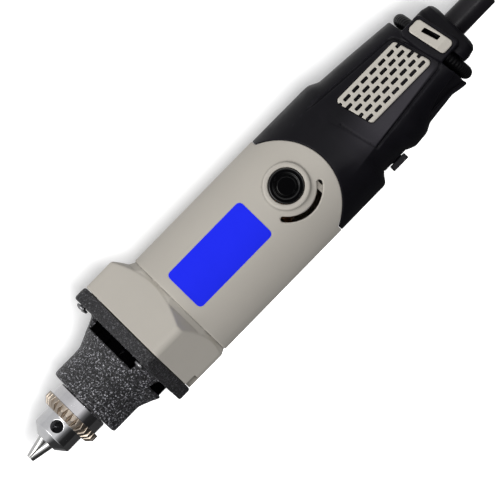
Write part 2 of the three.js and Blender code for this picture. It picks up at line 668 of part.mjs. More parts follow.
// everything on one side of the dial's room: side is 1 for the rear, -1 for the front
const beyondDial = (planeX, side) =>
  placeOnDial(new THREE.BoxGeometry(120, 120, 120).translate(side * 60 + planeX, 0, 0));

// move each corner away from the centroid by a margin in x and in y
function expand(points, margin) {
  const centre = points.reduce(
    (sum, [x, y]) => [sum[0] + x / points.length, sum[1] + y / points.length], [0, 0]);
  return points.map(([x, y]) =>
    [x + Math.sign(x - centre[0]) * margin, y + Math.sign(y - centre[1]) * margin]);
}
const grillePlate = (margin, zRange, cornerR = GRILLE_CORNER_R) =>
  plate(roundedPolygon(expand(GRILLE, margin), cornerR), zRange);

// main body, tail and the bridge that crosses the dial, hollowed, with the neck inside the dial
function shellBody() {
  const main = cut(stationLoft(HANDLE), beyondDial(-DIAL_ROOM_HALF, 1));
  const tail = cut(stationLoft(TAIL, 0, 20), beyondDial(DIAL_ROOM_HALF, -1));
  const bridge = plate(roundedPolygon(BRIDGE, 1.5), [19.5, 24.6]);
  const dialRoom = placeOnDial(discGeometry(around(0, DIAL_ROOM_HALF), DIAL.radius + 0.5, 60));
  const hollow = cut(join(main, tail, bridge), dialRoom, stationLoft(CAVITY, HANDLE_WALL));
  return join(hollow, rod([181, 195], 12.3, 40));
}

// recessed panels and grille openings, each with a ledge and a slotted dust plate, whose slots
// are out of line with the top grille's
function addGrilleSeats(shell) {
  const panel = plate(roundedPolygon(PANEL, 1.2), [PANEL_Z, 40]);
  const opening = grillePlate(GAP, [15, 40]);
  const ledge = cut(grillePlate(1.6, [20.2, 22.2]), grillePlate(-1.6, [19, 24], 2));
  const dustPlate = cut(grillePlate(1.6, [20.2, 21]),
    ...DUST_SLOT_YS.map((y) => box([148, 174], around(y, 0.6), [19, 22])));
  const opened = cut(shell, panel, opening, mirrorZ(panel), mirrorZ(opening));
  return join(opened, ledge, mirrorZ(ledge), dustPlate, mirrorZ(dustPlate));
}

function handleShell() {
  const tongueRoom = rearEdgeSpace(0.35);
  let shell = cut(shellBody(),
    tongueRoom,
    rod([170, 199.2], 9.5, 36), // cord passage
    rod([190, 210], BOOT_R + GAP, 32),
    placeOnDial(ringGeometry([-5.4, -3], [13.7, 19.4], 40))); // seat of the track ring
  shell = addGrilleSeats(shell);
  shell = cut(shell,
    plate(roundedPolygon(expand(BEZEL, GAP), 1.6), [23.1, 40]),
    plate(WINDOW, [18, 26]),
    box([SWITCH_X[0] - GAP, SWITCH_X[1] + GAP], [-40, -17], around(0, SWITCH_HALF_HEIGHT + GAP)));
  shell = join(shell, ...BOSSES.map((centre) =>
    post(centre, -20, 38, 3.9, 20).intersect(stationLoft(HANDLE, 0.6))));
  // the bosses must not reach into the tongues; then the screw and head holes
  return cut(shell, tongueRoom, ...BOSSES.flatMap((centre) =>
    [post(centre, -40, 50, 1.75, 16), post(centre, -40, 23.4, 3.3, 20)]));
}

// screw with its cross-slotted head at the bottom
function handleScrew([x, y]) {
  const slotZ = [-19.4, -17.8];
  return cut(
    join(post([x, y], -18.6, 2, 3, 20), post([x, y], -17, 26, 1.4, 12)),
    box(around(x, 0.45), around(y, 2), slotZ),
    box(around(x, 2), around(y, 0.45), slotZ));
}

const shell = handleShell();
const shellHalf = (zRange) => shell.intersect(box([50, 260], [-60, 60], zRange));
add('handle_shell_top', shellHalf([GAP / 2, 60]), MAT.black);
add('handle_shell_bottom', shellHalf([-60, -GAP / 2]), MAT.black);
BOSSES.forEach((centre, i) => add(`handle_screw_${i + 1}`, handleScrew(centre), MAT.screw));

// ---------------------------------------------------------------- grilles and dial window
// slot rows: y, x of the first slot's centre, number of slots
const GRILLE_ROWS = [
  [11.5, 144.4, 6], [8.1, 147.6, 6], [4.8, 145.0, 6], [1.4, 148.0, 6], [-2.0, 150.8, 5],
];
const GRILLE_PITCH = 5.62;
const GRILLE_Z = [22.6, 24.5];

function topGrille() {
  const slots = GRILLE_ROWS.flatMap(([y, firstX, count]) =>
    Array.from({ length: count }, (_, k) =>
      box(around(firstX + k * GRILLE_PITCH, 2.02), around(y, 0.8), [22, 25])));
  return cut(grillePlate(0, GRILLE_Z), Manifold.union(slots));
}

function bottomGrille() {
  const slots = Array.from({ length: 8 }, (_, k) =>
    box([147 + 4 * k, 149 + 4 * k], [-2.5, 11.5], [-25, -22]));
  return cut(mirrorZ(grillePlate(0, GRILLE_Z)), Manifold.union(slots));
}

add('grille_top', topGrille(), MAT.pale);
add('grille_bottom', bottomGrille(), MAT.black);
add('dial_bezel',
  cut(plate(roundedPolygon(BEZEL, 1.5), [23.4, 25.1]), plate(WINDOW, [22, 26])), MAT.pale);

// ---------------------------------------------------------------- speed dial and track ring
function speedDial() {
  const half = DIAL.thickness / 2;
  const ring = lathe([
    [-half, DIAL.bore], [-half, 19.4], [-2.2, 21.3], [0, DIAL.radius], [2.2, 21.3],
    [half, 19.4], [half, DIAL.bore], [-half, DIAL.bore],
  ], 64);
  const knurl = spread(20).map((azimuth) =>
    solid(new THREE.CylinderGeometry(0.6, 0.6, 10, 3)
      .rotateZ(Math.PI / 2)
      .translate(0, 0, DIAL.radius + 0.05)
      .rotateX(azimuth * RAD)));
  return placeOnDial(toGeometry(cut(ring, Manifold.union(knurl))));
}
add('speed_dial', speedDial(), MAT.rubber);
add('dial_track_ring', placeOnDial(ringGeometry([-5.1, -4.1], [14.1, 19], 40)), MAT.board);

// ---------------------------------------------------------------- slide switch
// tab outside the shell, stem through the bezel, four ridges across the tab
function switchSlider() {
  const ridges = [0, 1, 2, 3].map((i) =>
    solid(new THREE.CylinderGeometry(0.65, 0.65, 10.4, 8)
      .rotateX(Math.PI / 2)
      .translate(137.2 + i * 2.1, -26, 0)));
  return join(
    box([135.8, 144.9], [-26, -24.4], [-5.6, 5.6]),
    box([137.8, 143.2], [-24.6, -15.4], [-2.2, 2.2]),
    ...ridges);
}
add('switch_bezel', cut(
  box(SWITCH_X, [-24.1, -21.4], around(0, SWITCH_HALF_HEIGHT)),
  box([134, 143.6], [-30, -20], [-2.6, 2.6]),
), MAT.black);
add('switch_slider', switchSlider(), MAT.black);
add('switch_body', join(
  box([127.5, 149.5], [-15, -5.5], [-7.5, 7.5]),
  box([130, 134], [-5.6, -1.6], [-3.4, 3.4]),
  box([143, 147], [-5.6, -1.6], [-3.4, 3.4]),
), MAT.rubber);

// ---------------------------------------------------------------- speed control board
const BOARD_TOP_Z = -14;
const PART_Z = BOARD_TOP_Z + GAP; // underside of the parts on the board
const CAPACITOR = [[137, -4.8], [155, -4.8], [155, 4], [137, 4]]; // x, y
// y range, top z of each wall of the heatsink
const HEATSINK_WALLS = [[[5, 6.4], -1.5], [[8.2, 9.6], -1.5], [[5, 12.8], -12.4], [[11.4, 12.8], -1.5]];
add('control_board', box([133, 168.6], [-9, 14], [-15.6, BOARD_TOP_Z]), MAT.board);
add('board_capacitor', plate(roundedPolygon(CAPACITOR, 1.2), [PART_Z, -4.5]), MAT.blue);
add('triac_heatsink', join(...HEATSINK_WALLS.map(([yRange, topZ]) =>
  box([158.5, 167], yRange, [PART_Z, topZ]))), MAT.iron);

// ---------------------------------------------------------------- cord, boot and clamp
const BOOT_END_X = 246;
const CORD_BORE_R = CORD_R + GAP;
const CLAMP_SCREWS = [[171.5, 7.6], [171.5, -7.6]]; // x, y

const clampScrew = ([x, y]) => cut(
  join(post([x, y], 6.9, 1.8, 2.5, 16), post([x, y], -6, 13.2, 1.3, 12)),
  box(around(x, 0.35), around(y, 1.9), [8, 9]));

add('power_cord', rod([166, 262], CORD_R, 24), MAT.rubber);
add('cord_boot', lathe([
  [195.4, CORD_BORE_R], [195.4, 9], [198.8, 9], [198.8, BOOT_R], [222, BOOT_R],
  [BOOT_END_X - 1, 5.2], [BOOT_END_X, 4.8], [BOOT_END_X, CORD_BORE_R], [195.4, CORD_BORE_R],
], 36), MAT.rubber);
add('cord_clamp', cut(
  box([169, 174], [-10.4, 10.4], [1.5, 6.6]),
  rod([160, 180], CORD_BORE_R, 24),
  ...CLAMP_SCREWS.map((centre) => post(centre, -5, 20, 1.6, 12)),
), MAT.white);
CLAMP_SCREWS.forEach((centre, i) => add(`clamp_screw_${i + 1}`, clampScrew(centre), MAT.screw));

export default tool;
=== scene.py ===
"""A straight-bodied electric tool: keyed chuck, cast nose, motor housing, handle and cord.

The spindle axis runs along x, with the chuck at -x and the cord at +x. +z is up, and the
switch is on the -y flank. Pieces are modelled in millimetres as distance fields (negative
inside), measured from the flange joint on the spindle axis, and turned into meshes.
"""
import bpy
import math
import numpy as np
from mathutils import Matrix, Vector


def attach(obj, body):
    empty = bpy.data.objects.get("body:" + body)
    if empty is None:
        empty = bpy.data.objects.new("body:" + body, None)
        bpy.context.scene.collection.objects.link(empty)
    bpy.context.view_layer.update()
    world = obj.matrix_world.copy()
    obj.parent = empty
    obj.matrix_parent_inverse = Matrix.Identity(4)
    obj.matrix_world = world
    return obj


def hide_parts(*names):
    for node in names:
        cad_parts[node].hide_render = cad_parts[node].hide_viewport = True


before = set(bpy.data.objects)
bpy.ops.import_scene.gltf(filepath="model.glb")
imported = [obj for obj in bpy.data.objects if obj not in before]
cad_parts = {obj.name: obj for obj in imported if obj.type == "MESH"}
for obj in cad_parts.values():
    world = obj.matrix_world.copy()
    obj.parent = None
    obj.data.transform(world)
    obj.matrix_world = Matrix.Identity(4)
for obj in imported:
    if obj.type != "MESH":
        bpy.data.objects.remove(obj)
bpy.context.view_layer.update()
DATUM = (-0.09425, -0.0032265, 0.0)  # the flange joint on the spindle axis, in metres
MM = 0.001
F = np.float32

# ------------------------------------------------------------------ distance fields


def soft_min(a, b, fillet):
    share = np.clip(0.5 + 0.5 * (b - a) / fillet, 0, 1)
    return b + (a - b) * share - fillet * share * (1 - share)


def union(*shapes, fillet=0.0):
    """All the shapes together, with the seams filleted if asked."""
    result = shapes[0]
    for shape in shapes[1:]:
        result = soft_min(result, shape, fillet) if fillet else np.minimum(result, shape)
    return result


def overlap(*shapes, fillet=0.0):
    """What all the shapes share, with the edges rounded if asked."""
    result = shapes[0]
    for shape in shapes[1:]:
        result = -soft_min(-result, -shape, fillet) if fillet else np.maximum(result, shape)
    return result


def cut(shape, tool, fillet=0.0):
    return overlap(shape, -tool, fillet=fillet)


def hyp(a, b):
    return np.sqrt(a * a + b * b)


def slab(along, start, end):
    return np.maximum(start - along, along - end)


def drum(radius, outer, along, start, end, fillet=0.0):
    return overlap(radius - outer, slab(along, start, end), fillet=fillet)


def rounded_corner(a, b, radius):
    """Rounded rectangle from the distances a and b past where its corner arcs begin."""
    outside = hyp(np.maximum(a, 0), np.maximum(b, 0))
    return outside + np.minimum(np.maximum(a, b), 0) - radius


def lookup(x, table):
    """Straight-line interpolation in a table of (x, value)."""
    places, values = zip(*table)
    return np.interp(x, places, values).astype(F)


def wrapped(angle, step):
    """Angle from the nearest multiple of step."""
    return (angle + step / 2) % step - step / 2


def azimuth(y, z):
    """Angle round the spindle from +z, turning towards -y."""
    return np.arctan2(-y, z)


def across(degrees):
    """Unit vector square to the spindle at an azimuth."""
    angle = math.radians(degrees)
    return (0.0, -math.sin(angle), math.cos(angle))


def polyline(x, y, points):
    square = np.full(x.shape, 1e9, F)
    for (x0, y0), (x1, y1) in zip(points[:-1], points[1:]):
        run, rise = x1 - x0, y1 - y0
        from_x, from_y = x - x0, y - y0
        t = np.clip((from_x * run + from_y * rise) / (run * run + rise * rise), 0, 1)
        off_x, off_y = from_x - run * t, from_y - rise * t
        square = np.minimum(square, off_x * off_x + off_y * off_y)
    return np.sqrt(square)


def polygon(x, y, points):
    """Signed distance to a polygon in the plane, negative inside."""
    edge = polyline(x, y, points + points[:1])
    inside = np.zeros(x.shape, bool)
    for (x0, y0), (x1, y1) in zip(points, points[1:] + points[:1]):
        if y0 != y1:
            spans = (y0 > y) != (y1 > y)
            inside ^= spans & (x < (x1 - x0) * (y - y0) / (y1 - y0) + x0)
    return np.where(inside, -edge, edge).astype(F)


def turning(points):
    """Positive where a closed outline runs anticlockwise."""
    pairs = zip(points, points[1:] + points[:1])
    return sum(x0 * y1 - x1 * y0 for (x0, y0), (x1, y1) in pairs)


def inset(points, distance):
    sign = 1 if turning(points) > 0 else -1
    moved = []
    for i in range(len(points)):
        here = np.array(points[i], float)
        before = np.array(points[i - 1], float)
        after = np.array(points[(i + 1) % len(points)], float)
        edge_in = (here - before) / np.linalg.norm(here - before)
        edge_out = (after - here) / np.linalg.norm(after - here)
        normal_in = sign * np.array([-edge_in[1], edge_in[0]])
        normal_out = sign * np.array([-edge_out[1], edge_out[0]])
        mitre = (normal_in + normal_out) / (1 + normal_in @ normal_out)
        moved.append(tuple(here + mitre * distance))
    return moved


def round_poly(x, y, points, radius):
    return polygon(x, y, inset(points, radius)) - radius


def rod(x, y, z, point, direction):
    """Distance from the line through point along direction, and the place along it."""
    unit = np.array(direction, float) / np.linalg.norm(direction)
    from_x, from_y, from_z = x - point[0], y - point[1], z - point[2]
    t = from_x * unit[0] + from_y * unit[1] + from_z * unit[2]
    square = from_x * from_x + from_y * from_y + from_z * from_z - t * t
    return np.sqrt(np.maximum(square, 0)), t


# ------------------------------------------------------------------ meshing
GRID_CHUNK = 600000  # grid points worked out at a time
CORNERS = [(a, b, c) for a in (0, 1) for b in (0, 1) for c in (0, 1)]


def surface_net(field, low, high, cell):
    """Surface nets: quads around every cell that the surface passes through."""
    low = np.array(low, float) - 1.5 * cell
    high = np.array(high, float) + 1.5 * cell
    count = np.ceil((high - low) / cell).astype(int) + 1
    y_line = (low[1] + cell * np.arange(count[1])).astype(F)
    z_line = (low[2] + cell * np.arange(count[2])).astype(F)
    y_grid, z_grid = np.meshgrid(y_line, z_line, indexing="ij")
    values = np.empty(count, F)
    step = max(1, int(GRID_CHUNK / (count[1] * count[2])))
    for i in range(0, count[0], step):
        x_line = (low[0] + cell * np.arange(i, min(i + step, count[0]))).astype(F)
        size = (len(x_line), count[1], count[2])
        grids = (x_line[:, None, None], y_grid, z_grid)
        grids = [np.ascontiguousarray(np.broadcast_to(grid, size)) for grid in grids]
        values[i : i + len(x_line)] = field(*grids)
    # the outermost layer is outside, so every surface is closed
    for end in (0, -1):
        for axis in range(3):
            layer = np.moveaxis(values, axis, 0)[end]
            layer[...] = np.abs(layer) + 1e-3
    inside = values < 0
    total = np.zeros(count - 1, np.uint8)
    for a, b, c in CORNERS:
        total += inside[a : count[0] - 1 + a, b : count[1] - 1 + b, c : count[2] - 1 + c]
    i, j, k = np.nonzero((total > 0) & (total < 8))
    index = np.full(count - 1, -1, np.int32)
    index[i, j, k] = np.arange(len(i))

    # each vertex is the mean of the places where the surface crosses its cell's edges
    corner = np.array(CORNERS)
    at_corner = np.stack([values[i + a, j + b, k + c] for a, b, c in CORNERS], 1)
    at_corner = at_corner.astype(np.float64)
    crossings = np.zeros((len(i), 3))
    number = np.zeros(len(i))
    for p in range(8):
        for q in range(p + 1, 8):
            if np.abs(corner[p] - corner[q]).sum() != 1:
                continue
            crossed = (at_corner[:, p] < 0) != (at_corner[:, q] < 0)
            span = np.where(crossed, at_corner[:, p] - at_corner[:, q], 1)
            t = np.where(crossed, at_corner[:, p] / span, 0)[:, None]
            place = corner[p] + t * (corner[q] - corner[p])
            crossings += np.where(crossed[:, None], place, 0)
            number += crossed
    verts = (np.stack([i, j, k], 1) + crossings / number[:, None]) * cell + low

    quads = []
    for axis in range(3):
        here = [slice(1, -1)] * 3
        ahead = [slice(1, -1)] * 3
        here[axis] = slice(0, -1)
        ahead[axis] = slice(1, None)
        first, second = inside[tuple(here)], inside[tuple(ahead)]
        for leaving, flip in ((first & ~second, False), (~first & second, True)):
            edges = np.stack(np.nonzero(leaving), 1)
            around = []
            for step_1, step_2 in ((0, 0), (1, 0), (1, 1), (0, 1)):
                cells = edges.copy()
                cells[:, (axis + 1) % 3] += step_1
                cells[:, (axis + 2) % 3] += step_2
                around.append(index[cells[:, 0], cells[:, 1], cells[:, 2]])
            around = np.stack(around, 1)
            quads.append(around[:, ::-1] if flip else around)
    return verts, np.concatenate(quads)


def drop_specks(verts, quads):
    """Keep only the connected shells that hold more than 4% of the vertices."""
    label = np.arange(len(verts))
    tail = np.concatenate([quads[:, 0], quads[:, 1], quads[:, 2]])
    head = np.concatenate([quads[:, 1], quads[:, 2], quads[:, 3]])
    for _ in range(400):
        lowest = np.minimum(label[tail], label[head])
        spread = label.copy()
        np.minimum.at(spread, tail, lowest)
        np.minimum.at(spread, head, lowest)
        spread = spread[spread]
        spread = spread[spread]
        if (spread == label).all():
            break
        label = spread
    shells, sizes = np.unique(label, return_counts=True)
    kept = np.isin(label, shells[sizes > 0.04 * len(verts)])
    renumber = np.cumsum(kept) - 1
    return verts[kept], renumber[quads[kept[quads[:, 0]]]]


def gradient(field, points, reach):
    slope = np.empty_like(points)
    for k in range(3):
        ahead = points.copy()
        behind = points.copy()
        ahead[:, k] += reach
        behind[:, k] -= reach
        slope[:, k] = (field(*ahead.T.copy()) - field(*behind.T.copy())) / (2 * reach)
    return slope


def project(field, verts, cell):
    """Slide the vertices onto the surface of the field itself."""
    points = verts.copy()
    for _ in range(2):
        slope = gradient(field, points, reach=0.02)
        steepness = np.maximum((slope * slope).sum(1), 0.05)
        step = (field(*points.T.copy()) / steepness)[:, None] * slope
        length = np.linalg.norm(step, axis=1, keepdims=True)
        step *= np.minimum(1, 0.35 * cell / np.maximum(length, 1e-9))
        points -= step
    return points


def lattice_hash(i, j, k, seed):
    v = (i * 374761393 + j * 668265263 + k * 2147483647 + seed * 1274126177) & 0xFFFFFFFF
    v = ((v ^ (v >> 13)) * 1274126177) & 0xFFFFFFFF
    return ((v ^ (v >> 16)) & 0xFFFF) / 65535.0


def value_noise(points, size, seed):
    """Smooth noise from -1 to 1, with lumps of the given size."""
    scaled_points = points / size
    base = np.floor(scaled_points).astype(np.int64)
    part = scaled_points - base
    part = part * part * (3 - 2 * part)
    total = np.zeros(len(points))
    for corner in CORNERS:
        weight = 1
        for k in range(3):
            weight = weight * (part[:, k] if corner[k] else 1 - part[:, k])
        i, j, k = (base + corner).T
        total += weight * lattice_hash(i, j, k, seed)
    return total * 2 - 1


def add_piece(name, verts, quads, body, slot, node, normals=None, sharp=None):
    mesh = bpy.data.meshes.new(name)
    mesh.vertices.add(len(verts))
    mesh.vertices.foreach_set("co", (verts * MM + DATUM).astype(F).ravel())
    mesh.loops.add(quads.size)
    mesh.loops.foreach_set("vertex_index", quads.astype(np.int32).ravel())
    mesh.polygons.add(len(quads))
    mesh.polygons.foreach_set("loop_start", np.arange(0, quads.size, 4, dtype=np.int32))
    mesh.polygons.foreach_set("loop_total", np.full(len(quads), 4, np.int32))
    mesh.update(calc_edges=True)
    mesh.validate()
    mesh.polygons.foreach_set("use_smooth", np.full(len(mesh.polygons), True))
    if sharp is not None:
        mesh.set_sharp_from_angle(angle=math.radians(sharp))
    if normals is not None:
        mesh.normals_split_custom_set_from_vertices([tuple(v) for v in normals])
    piece = bpy.data.objects.new(name, mesh)
    bpy.context.scene.collection.objects.link(piece)
    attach(piece, body)
    mesh.materials.append(SURFACES[slot].owner)
    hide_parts(node)


def sculpt(name, field, low, high, cell, body, slot, node, true_normals=False, skin=None):
    """Mesh a field inside a box; skin(verts) may push the vertices out along the normals."""
    verts, quads = drop_specks(*surface_net(field, low, high, cell))
    verts = project(field, verts, cell)
    normals = None
    if skin or true_normals:
        slope = gradient(field, verts, reach=0.06)
        normals = slope / np.maximum(np.linalg.norm(slope, axis=1, keepdims=True), 1e-9)
    if skin:
        verts = verts + normals * skin(verts)[:, None]
        normals = None
    add_piece(name, verts, quads, body, slot, node, normals=normals)


def fine_profile(points, step):
    """Subdivide a closed profile so that no side is longer than step."""
    result = []
    for i in range(len(points)):
        start = np.array(points[i], float)
        end = np.array(points[(i + 1) % len(points)], float)
        parts = max(1, int(math.ceil(np.linalg.norm(end - start) / step)))
        for k in range(parts):
            result.append(tuple(start + (end - start) * k / parts))
    return result


def turned(profile, sides, shape=None):
    """A mesh turned about x from a closed (x, r) profile; shape may move its points."""
    rows = len(profile)
    outline = np.array(profile, float)
    along = np.repeat(outline[:, 0][:, None], sides, 1)
    radius = np.repeat(outline[:, 1][:, None], sides, 1)
    angle = np.repeat((np.arange(sides) * 2 * np.pi / sides)[None], rows, 0)
    if shape is not None:
        along, radius = shape(along, radius, angle)
    verts = np.stack([along, -radius * np.sin(angle), radius * np.cos(angle)], -1)
    i, j = np.meshgrid(np.arange(rows), np.arange(sides), indexing="ij")
    i_next, j_next = (i + 1) % rows, (j + 1) % sides
    quads = [i * sides + j, i * sides + j_next, i_next * sides + j_next, i_next * sides + j]
    quads = np.stack(quads, -1).reshape(-1, 4)
    if turning(profile) > 0:
        quads = quads[:, ::-1]
    return verts.reshape(-1, 3), quads


# ------------------------------------------------------------------ node helpers


def lin(*rgb):
    """Linear colour from 0-255 sRGB."""
    parts = [c / 255 / 12.92 if c <= 10.31 else ((c / 255 + 0.055) / 1.055) ** 2.4 for c in rgb]
    return (*parts, 1.0)


def scaled(colour, factor):
    return (colour[0] * factor, colour[1] * factor, colour[2] * factor, 1)


class Graph:
    """The emptied node tree of a material or world, with short ways to add to it."""

    def __init__(self, owner):
        self.owner = owner
        owner.use_nodes = True
        self.tree = owner.node_tree
        self.tree.nodes.clear()

    def feed(self, node, inputs):
        """Link each input to a socket, or set it to a value."""
        for key, value in inputs.items():
            if isinstance(value, bpy.types.NodeSocket):
                self.tree.links.new(value, node.inputs[key])
            else:
                node.inputs[key].default_value = value

    def node(self, kind, inputs=None, **settings):
        made = self.tree.nodes.new("ShaderNode" + kind)
        for key, value in settings.items():
            setattr(made, key, value)
        self.feed(made, inputs or {})
        return made

    def math(self, operation, *values):
        return self.node("Math", dict(enumerate(values)), operation=operation).outputs[0]

    def map_range(self, value, from_min=0.0, from_max=1.0, to_min=0.0, to_max=1.0,
                  kind="LINEAR"):
        inputs = {"Value": value, "From Min": from_min, "From Max": from_max,
                  "To Min": to_min, "To Max": to_max}
        return self.node("MapRange", inputs, interpolation_type=kind).outputs[0]

    def ramp(self, factor, stops):
        made = self.node("ValToRGB", {0: factor})
        elements = made.color_ramp.elements
        while len(elements) < len(stops):
            elements.new(0.5)
        for element, (position, colour) in zip(elements, stops):
            element.position = position
            element.color = colour
        return made.outputs[0]

    def mix(self, factor, a, b, mode="MIX"):
        inputs = {0: factor, 6: a, 7: b}
        return self.node("Mix", inputs, data_type="RGBA", blend_type=mode).outputs[2]


class Surface(Graph):
    """A principled material, with patterns laid out from the datum."""

    def __init__(self, name):
        super().__init__(bpy.data.materials.new(name))
        self.bsdf = self.node("BsdfPrincipled")
        self.node("OutputMaterial", {0: self.bsdf.outputs[0]})
        self.coords = self.from_datum()

    def from_datum(self):
        place = self.node("TexCoord").outputs["Object"]
        return self.node("VectorMath", {0: place, 1: DATUM}, operation="SUBTRACT").outputs[0]

    def axial(self):
        """Place along the spindle, and distance from it."""
        split = self.node("SeparateXYZ", {0: self.coords})
        flat = self.node("CombineXYZ", {1: split.outputs[1], 2: split.outputs[2]})
        length = self.node("VectorMath", {0: flat.outputs[0]}, operation="LENGTH")
        return split.outputs[0], length.outputs["Value"]

    def noise(self, size_mm, detail=3.0, roughness=0.55, stretch=None, output="Fac"):
        coords = self.coords
        if stretch:
            coords = self.node("Mapping", {0: coords, "Scale": stretch}).outputs[0]
        inputs = {"Scale": 1000 / size_mm, "Detail": detail, "Roughness": roughness,
                  "Vector": coords}
        return self.node("TexNoise", inputs).outputs[output]

    def grey(self, factor, *stops):
        """A grey ramp through (position, value) stops."""
        return self.ramp(factor, [(place, (v, v, v, 1)) for place, v in stops])

    def two_tone(self, factor, colour, variation):
        tones = [(0.3, scaled(colour, 1 - variation)), (0.7, scaled(colour, 1 + variation))]
        return self.ramp(factor, tones)

    def bump(self, height, strength, distance):
        inputs = {"Strength": strength, "Distance": distance, "Height": height}
        return self.node("Bump", inputs).outputs[0]


# ------------------------------------------------------------------ materials


def plastic(name, rgb, roughness, variation, grain, grain_mm, wear, specular, mottle_mm):
    surface = Surface(name)
    colour = lin(*rgb)
    mottle = surface.noise(mottle_mm, detail=4, roughness=0.6)
    base = surface.two_tone(mottle, colour, variation)
    if wear:
        # edges worn lighter; hollows darkened as painted shade
        pointiness = surface.node("NewGeometry").outputs["Pointiness"]
        edges = surface.grey(pointiness, (0.505, 0), (0.56, 1))
        base = surface.mix(edges, base, scaled(colour, 1 + wear))
        hollow_shade = surface.grey(pointiness, (0.44, 1), (0.495, 0))
        base = surface.mix(hollow_shade, base, scaled(colour, 0.55))
    smudges = surface.noise(mottle_mm * 0.4, detail=3)
    texture = surface.noise(grain_mm, detail=2, roughness=0.5)
    surface.feed(surface.bsdf, {
        "Base Color": base,
        "Roughness": surface.grey(smudges, (0.3, roughness - 0.06), (0.7, roughness + 0.06)),
        "Specular IOR Level": specular,
        "Normal": surface.bump(texture, strength=grain, distance=0.00012),
    })
    return surface


def metal_finish(surface, base, roughness, fine, bump):
    surface.feed(surface.bsdf, {
        "Metallic": 1.0,
        "Base Color": base,
        "Roughness": roughness,
        "Normal": surface.bump(fine, strength=bump, distance=0.00004),
    })
    return surface


def metal(name, colour, roughness, streak, streak_mm, bump, variation):
    surface = Surface(name)
    base = surface.two_tone(surface.noise(5.0), colour, variation)
    fine = surface.noise(streak_mm, roughness=0.6, stretch=streak)
    rough = surface.grey(fine, (0.25, max(0.02, roughness * 0.7)), (0.75, roughness * 1.4))
    return metal_finish(surface, base, rough, fine, bump)


def add_painted_panel_sheen(surface):
    """Painted sheen: the recessed top panel is made paler and duller towards the switch side,
    standing in for a glancing highlight.
    """
    split = surface.node("SeparateXYZ", {0: surface.from_datum()})
    x, y, z = split.outputs

    def fade(value, start, end):
        return surface.map_range(value, from_min=start, from_max=end, kind="SMOOTHSTEP")

    def times(a, b):
        return surface.math("MULTIPLY", a, b)

    # the painted sheen covers the switch-side part of the panel
    painted_sheen_mask = times(fade(y, 0.010, -0.008), fade(x, 0.118, 0.150))
    painted_sheen_mask = times(painted_sheen_mask, fade(x, 0.186, 0.176))
    # its lower edge is a straight crease: y above minus this line, in metres
    slope, crease_x, crease_y = 0.1242, 0.1377, 0.0137
    edge = surface.math("MULTIPLY_ADD", x, -slope, crease_y + slope * crease_x)
    over = surface.math("ADD", edge, y)
    upper_side = times(fade(z, 0.0, 0.010), 0.8)
    painted_sheen_mask = times(times(painted_sheen_mask, fade(over, 0.0002, 0.0010)), upper_side)
    base = surface.bsdf.inputs["Base Color"].links[0].from_socket
    surface.feed(surface.bsdf, {"Base Color": surface.mix(painted_sheen_mask, base, lin(66, 64, 70))})


def shine_edges_only(surface):
    """Faces turned to the viewer stay black, faces turned away shine."""
    geometry = surface.node("NewGeometry").outputs
    facing = surface.node("VectorMath", {0: geometry["Normal"], 1: geometry["Incoming"]},
                          operation="DOT_PRODUCT").outputs["Value"]
    shine = surface.map_range(facing, from_min=0.985, from_max=0.80, to_min=0.03, to_max=1.0)
    surface.feed(surface.bsdf, {"Specular IOR Level": shine})


def chuck_chrome():
    """Bright plate outside; the bores are coloured dark as painted shade inside the holes."""
    surface = Surface("chuck_chrome")
    x, radius = surface.axial()
    outside = surface.map_range(radius, from_min=0.0086, from_max=0.0097)
    front_cone = surface.math("LESS_THAN", x, -0.0589)
    bright_part = surface.math("MAXIMUM", outside, front_cone)
    tones = [(0.3, (0.74, 0.74, 0.76, 1)), (0.7, (0.82, 0.82, 0.83, 1))]
    plate = surface.ramp(surface.noise(5.0), tones)
    # the dark base colour inside the bores is painted shade
    base = surface.mix(bright_part, (0.10, 0.10, 0.105, 1), plate)
    fine = surface.noise(1.2, roughness=0.6, stretch=(40, 1, 1))
    rough = surface.grey(fine, (0.25, 0.06), (0.75, 0.13))
    return metal_finish(surface, base, rough, fine, bump=0.03)


def sleeve_steel():
    """Bright plating on the plain barrel of the sleeve, warmer bare steel on the toothed ring."""
    surface = Surface("sleeve_steel")
    split = surface.node("SeparateXYZ", {0: surface.coords})
    bright_part = surface.map_range(split.outputs[0], from_min=-0.0450, from_max=-0.0446)
    mottle = surface.noise(4.0)
    ring = surface.ramp(mottle, [(0.3, (0.40, 0.34, 0.28, 1)), (0.7, (0.52, 0.45, 0.38, 1))])
    plate = surface.ramp(mottle, [(0.3, (0.74, 0.73, 0.75, 1)), (0.7, (0.80, 0.79, 0.81, 1))])
    base = surface.mix(bright_part, ring, plate)
    fine = surface.noise(1.0, roughness=0.6, stretch=(30, 1, 1))
    rough = surface.map_range(bright_part, to_min=0.30, to_max=0.10)
    return metal_finish(surface, base, rough, fine, bump=0.08)


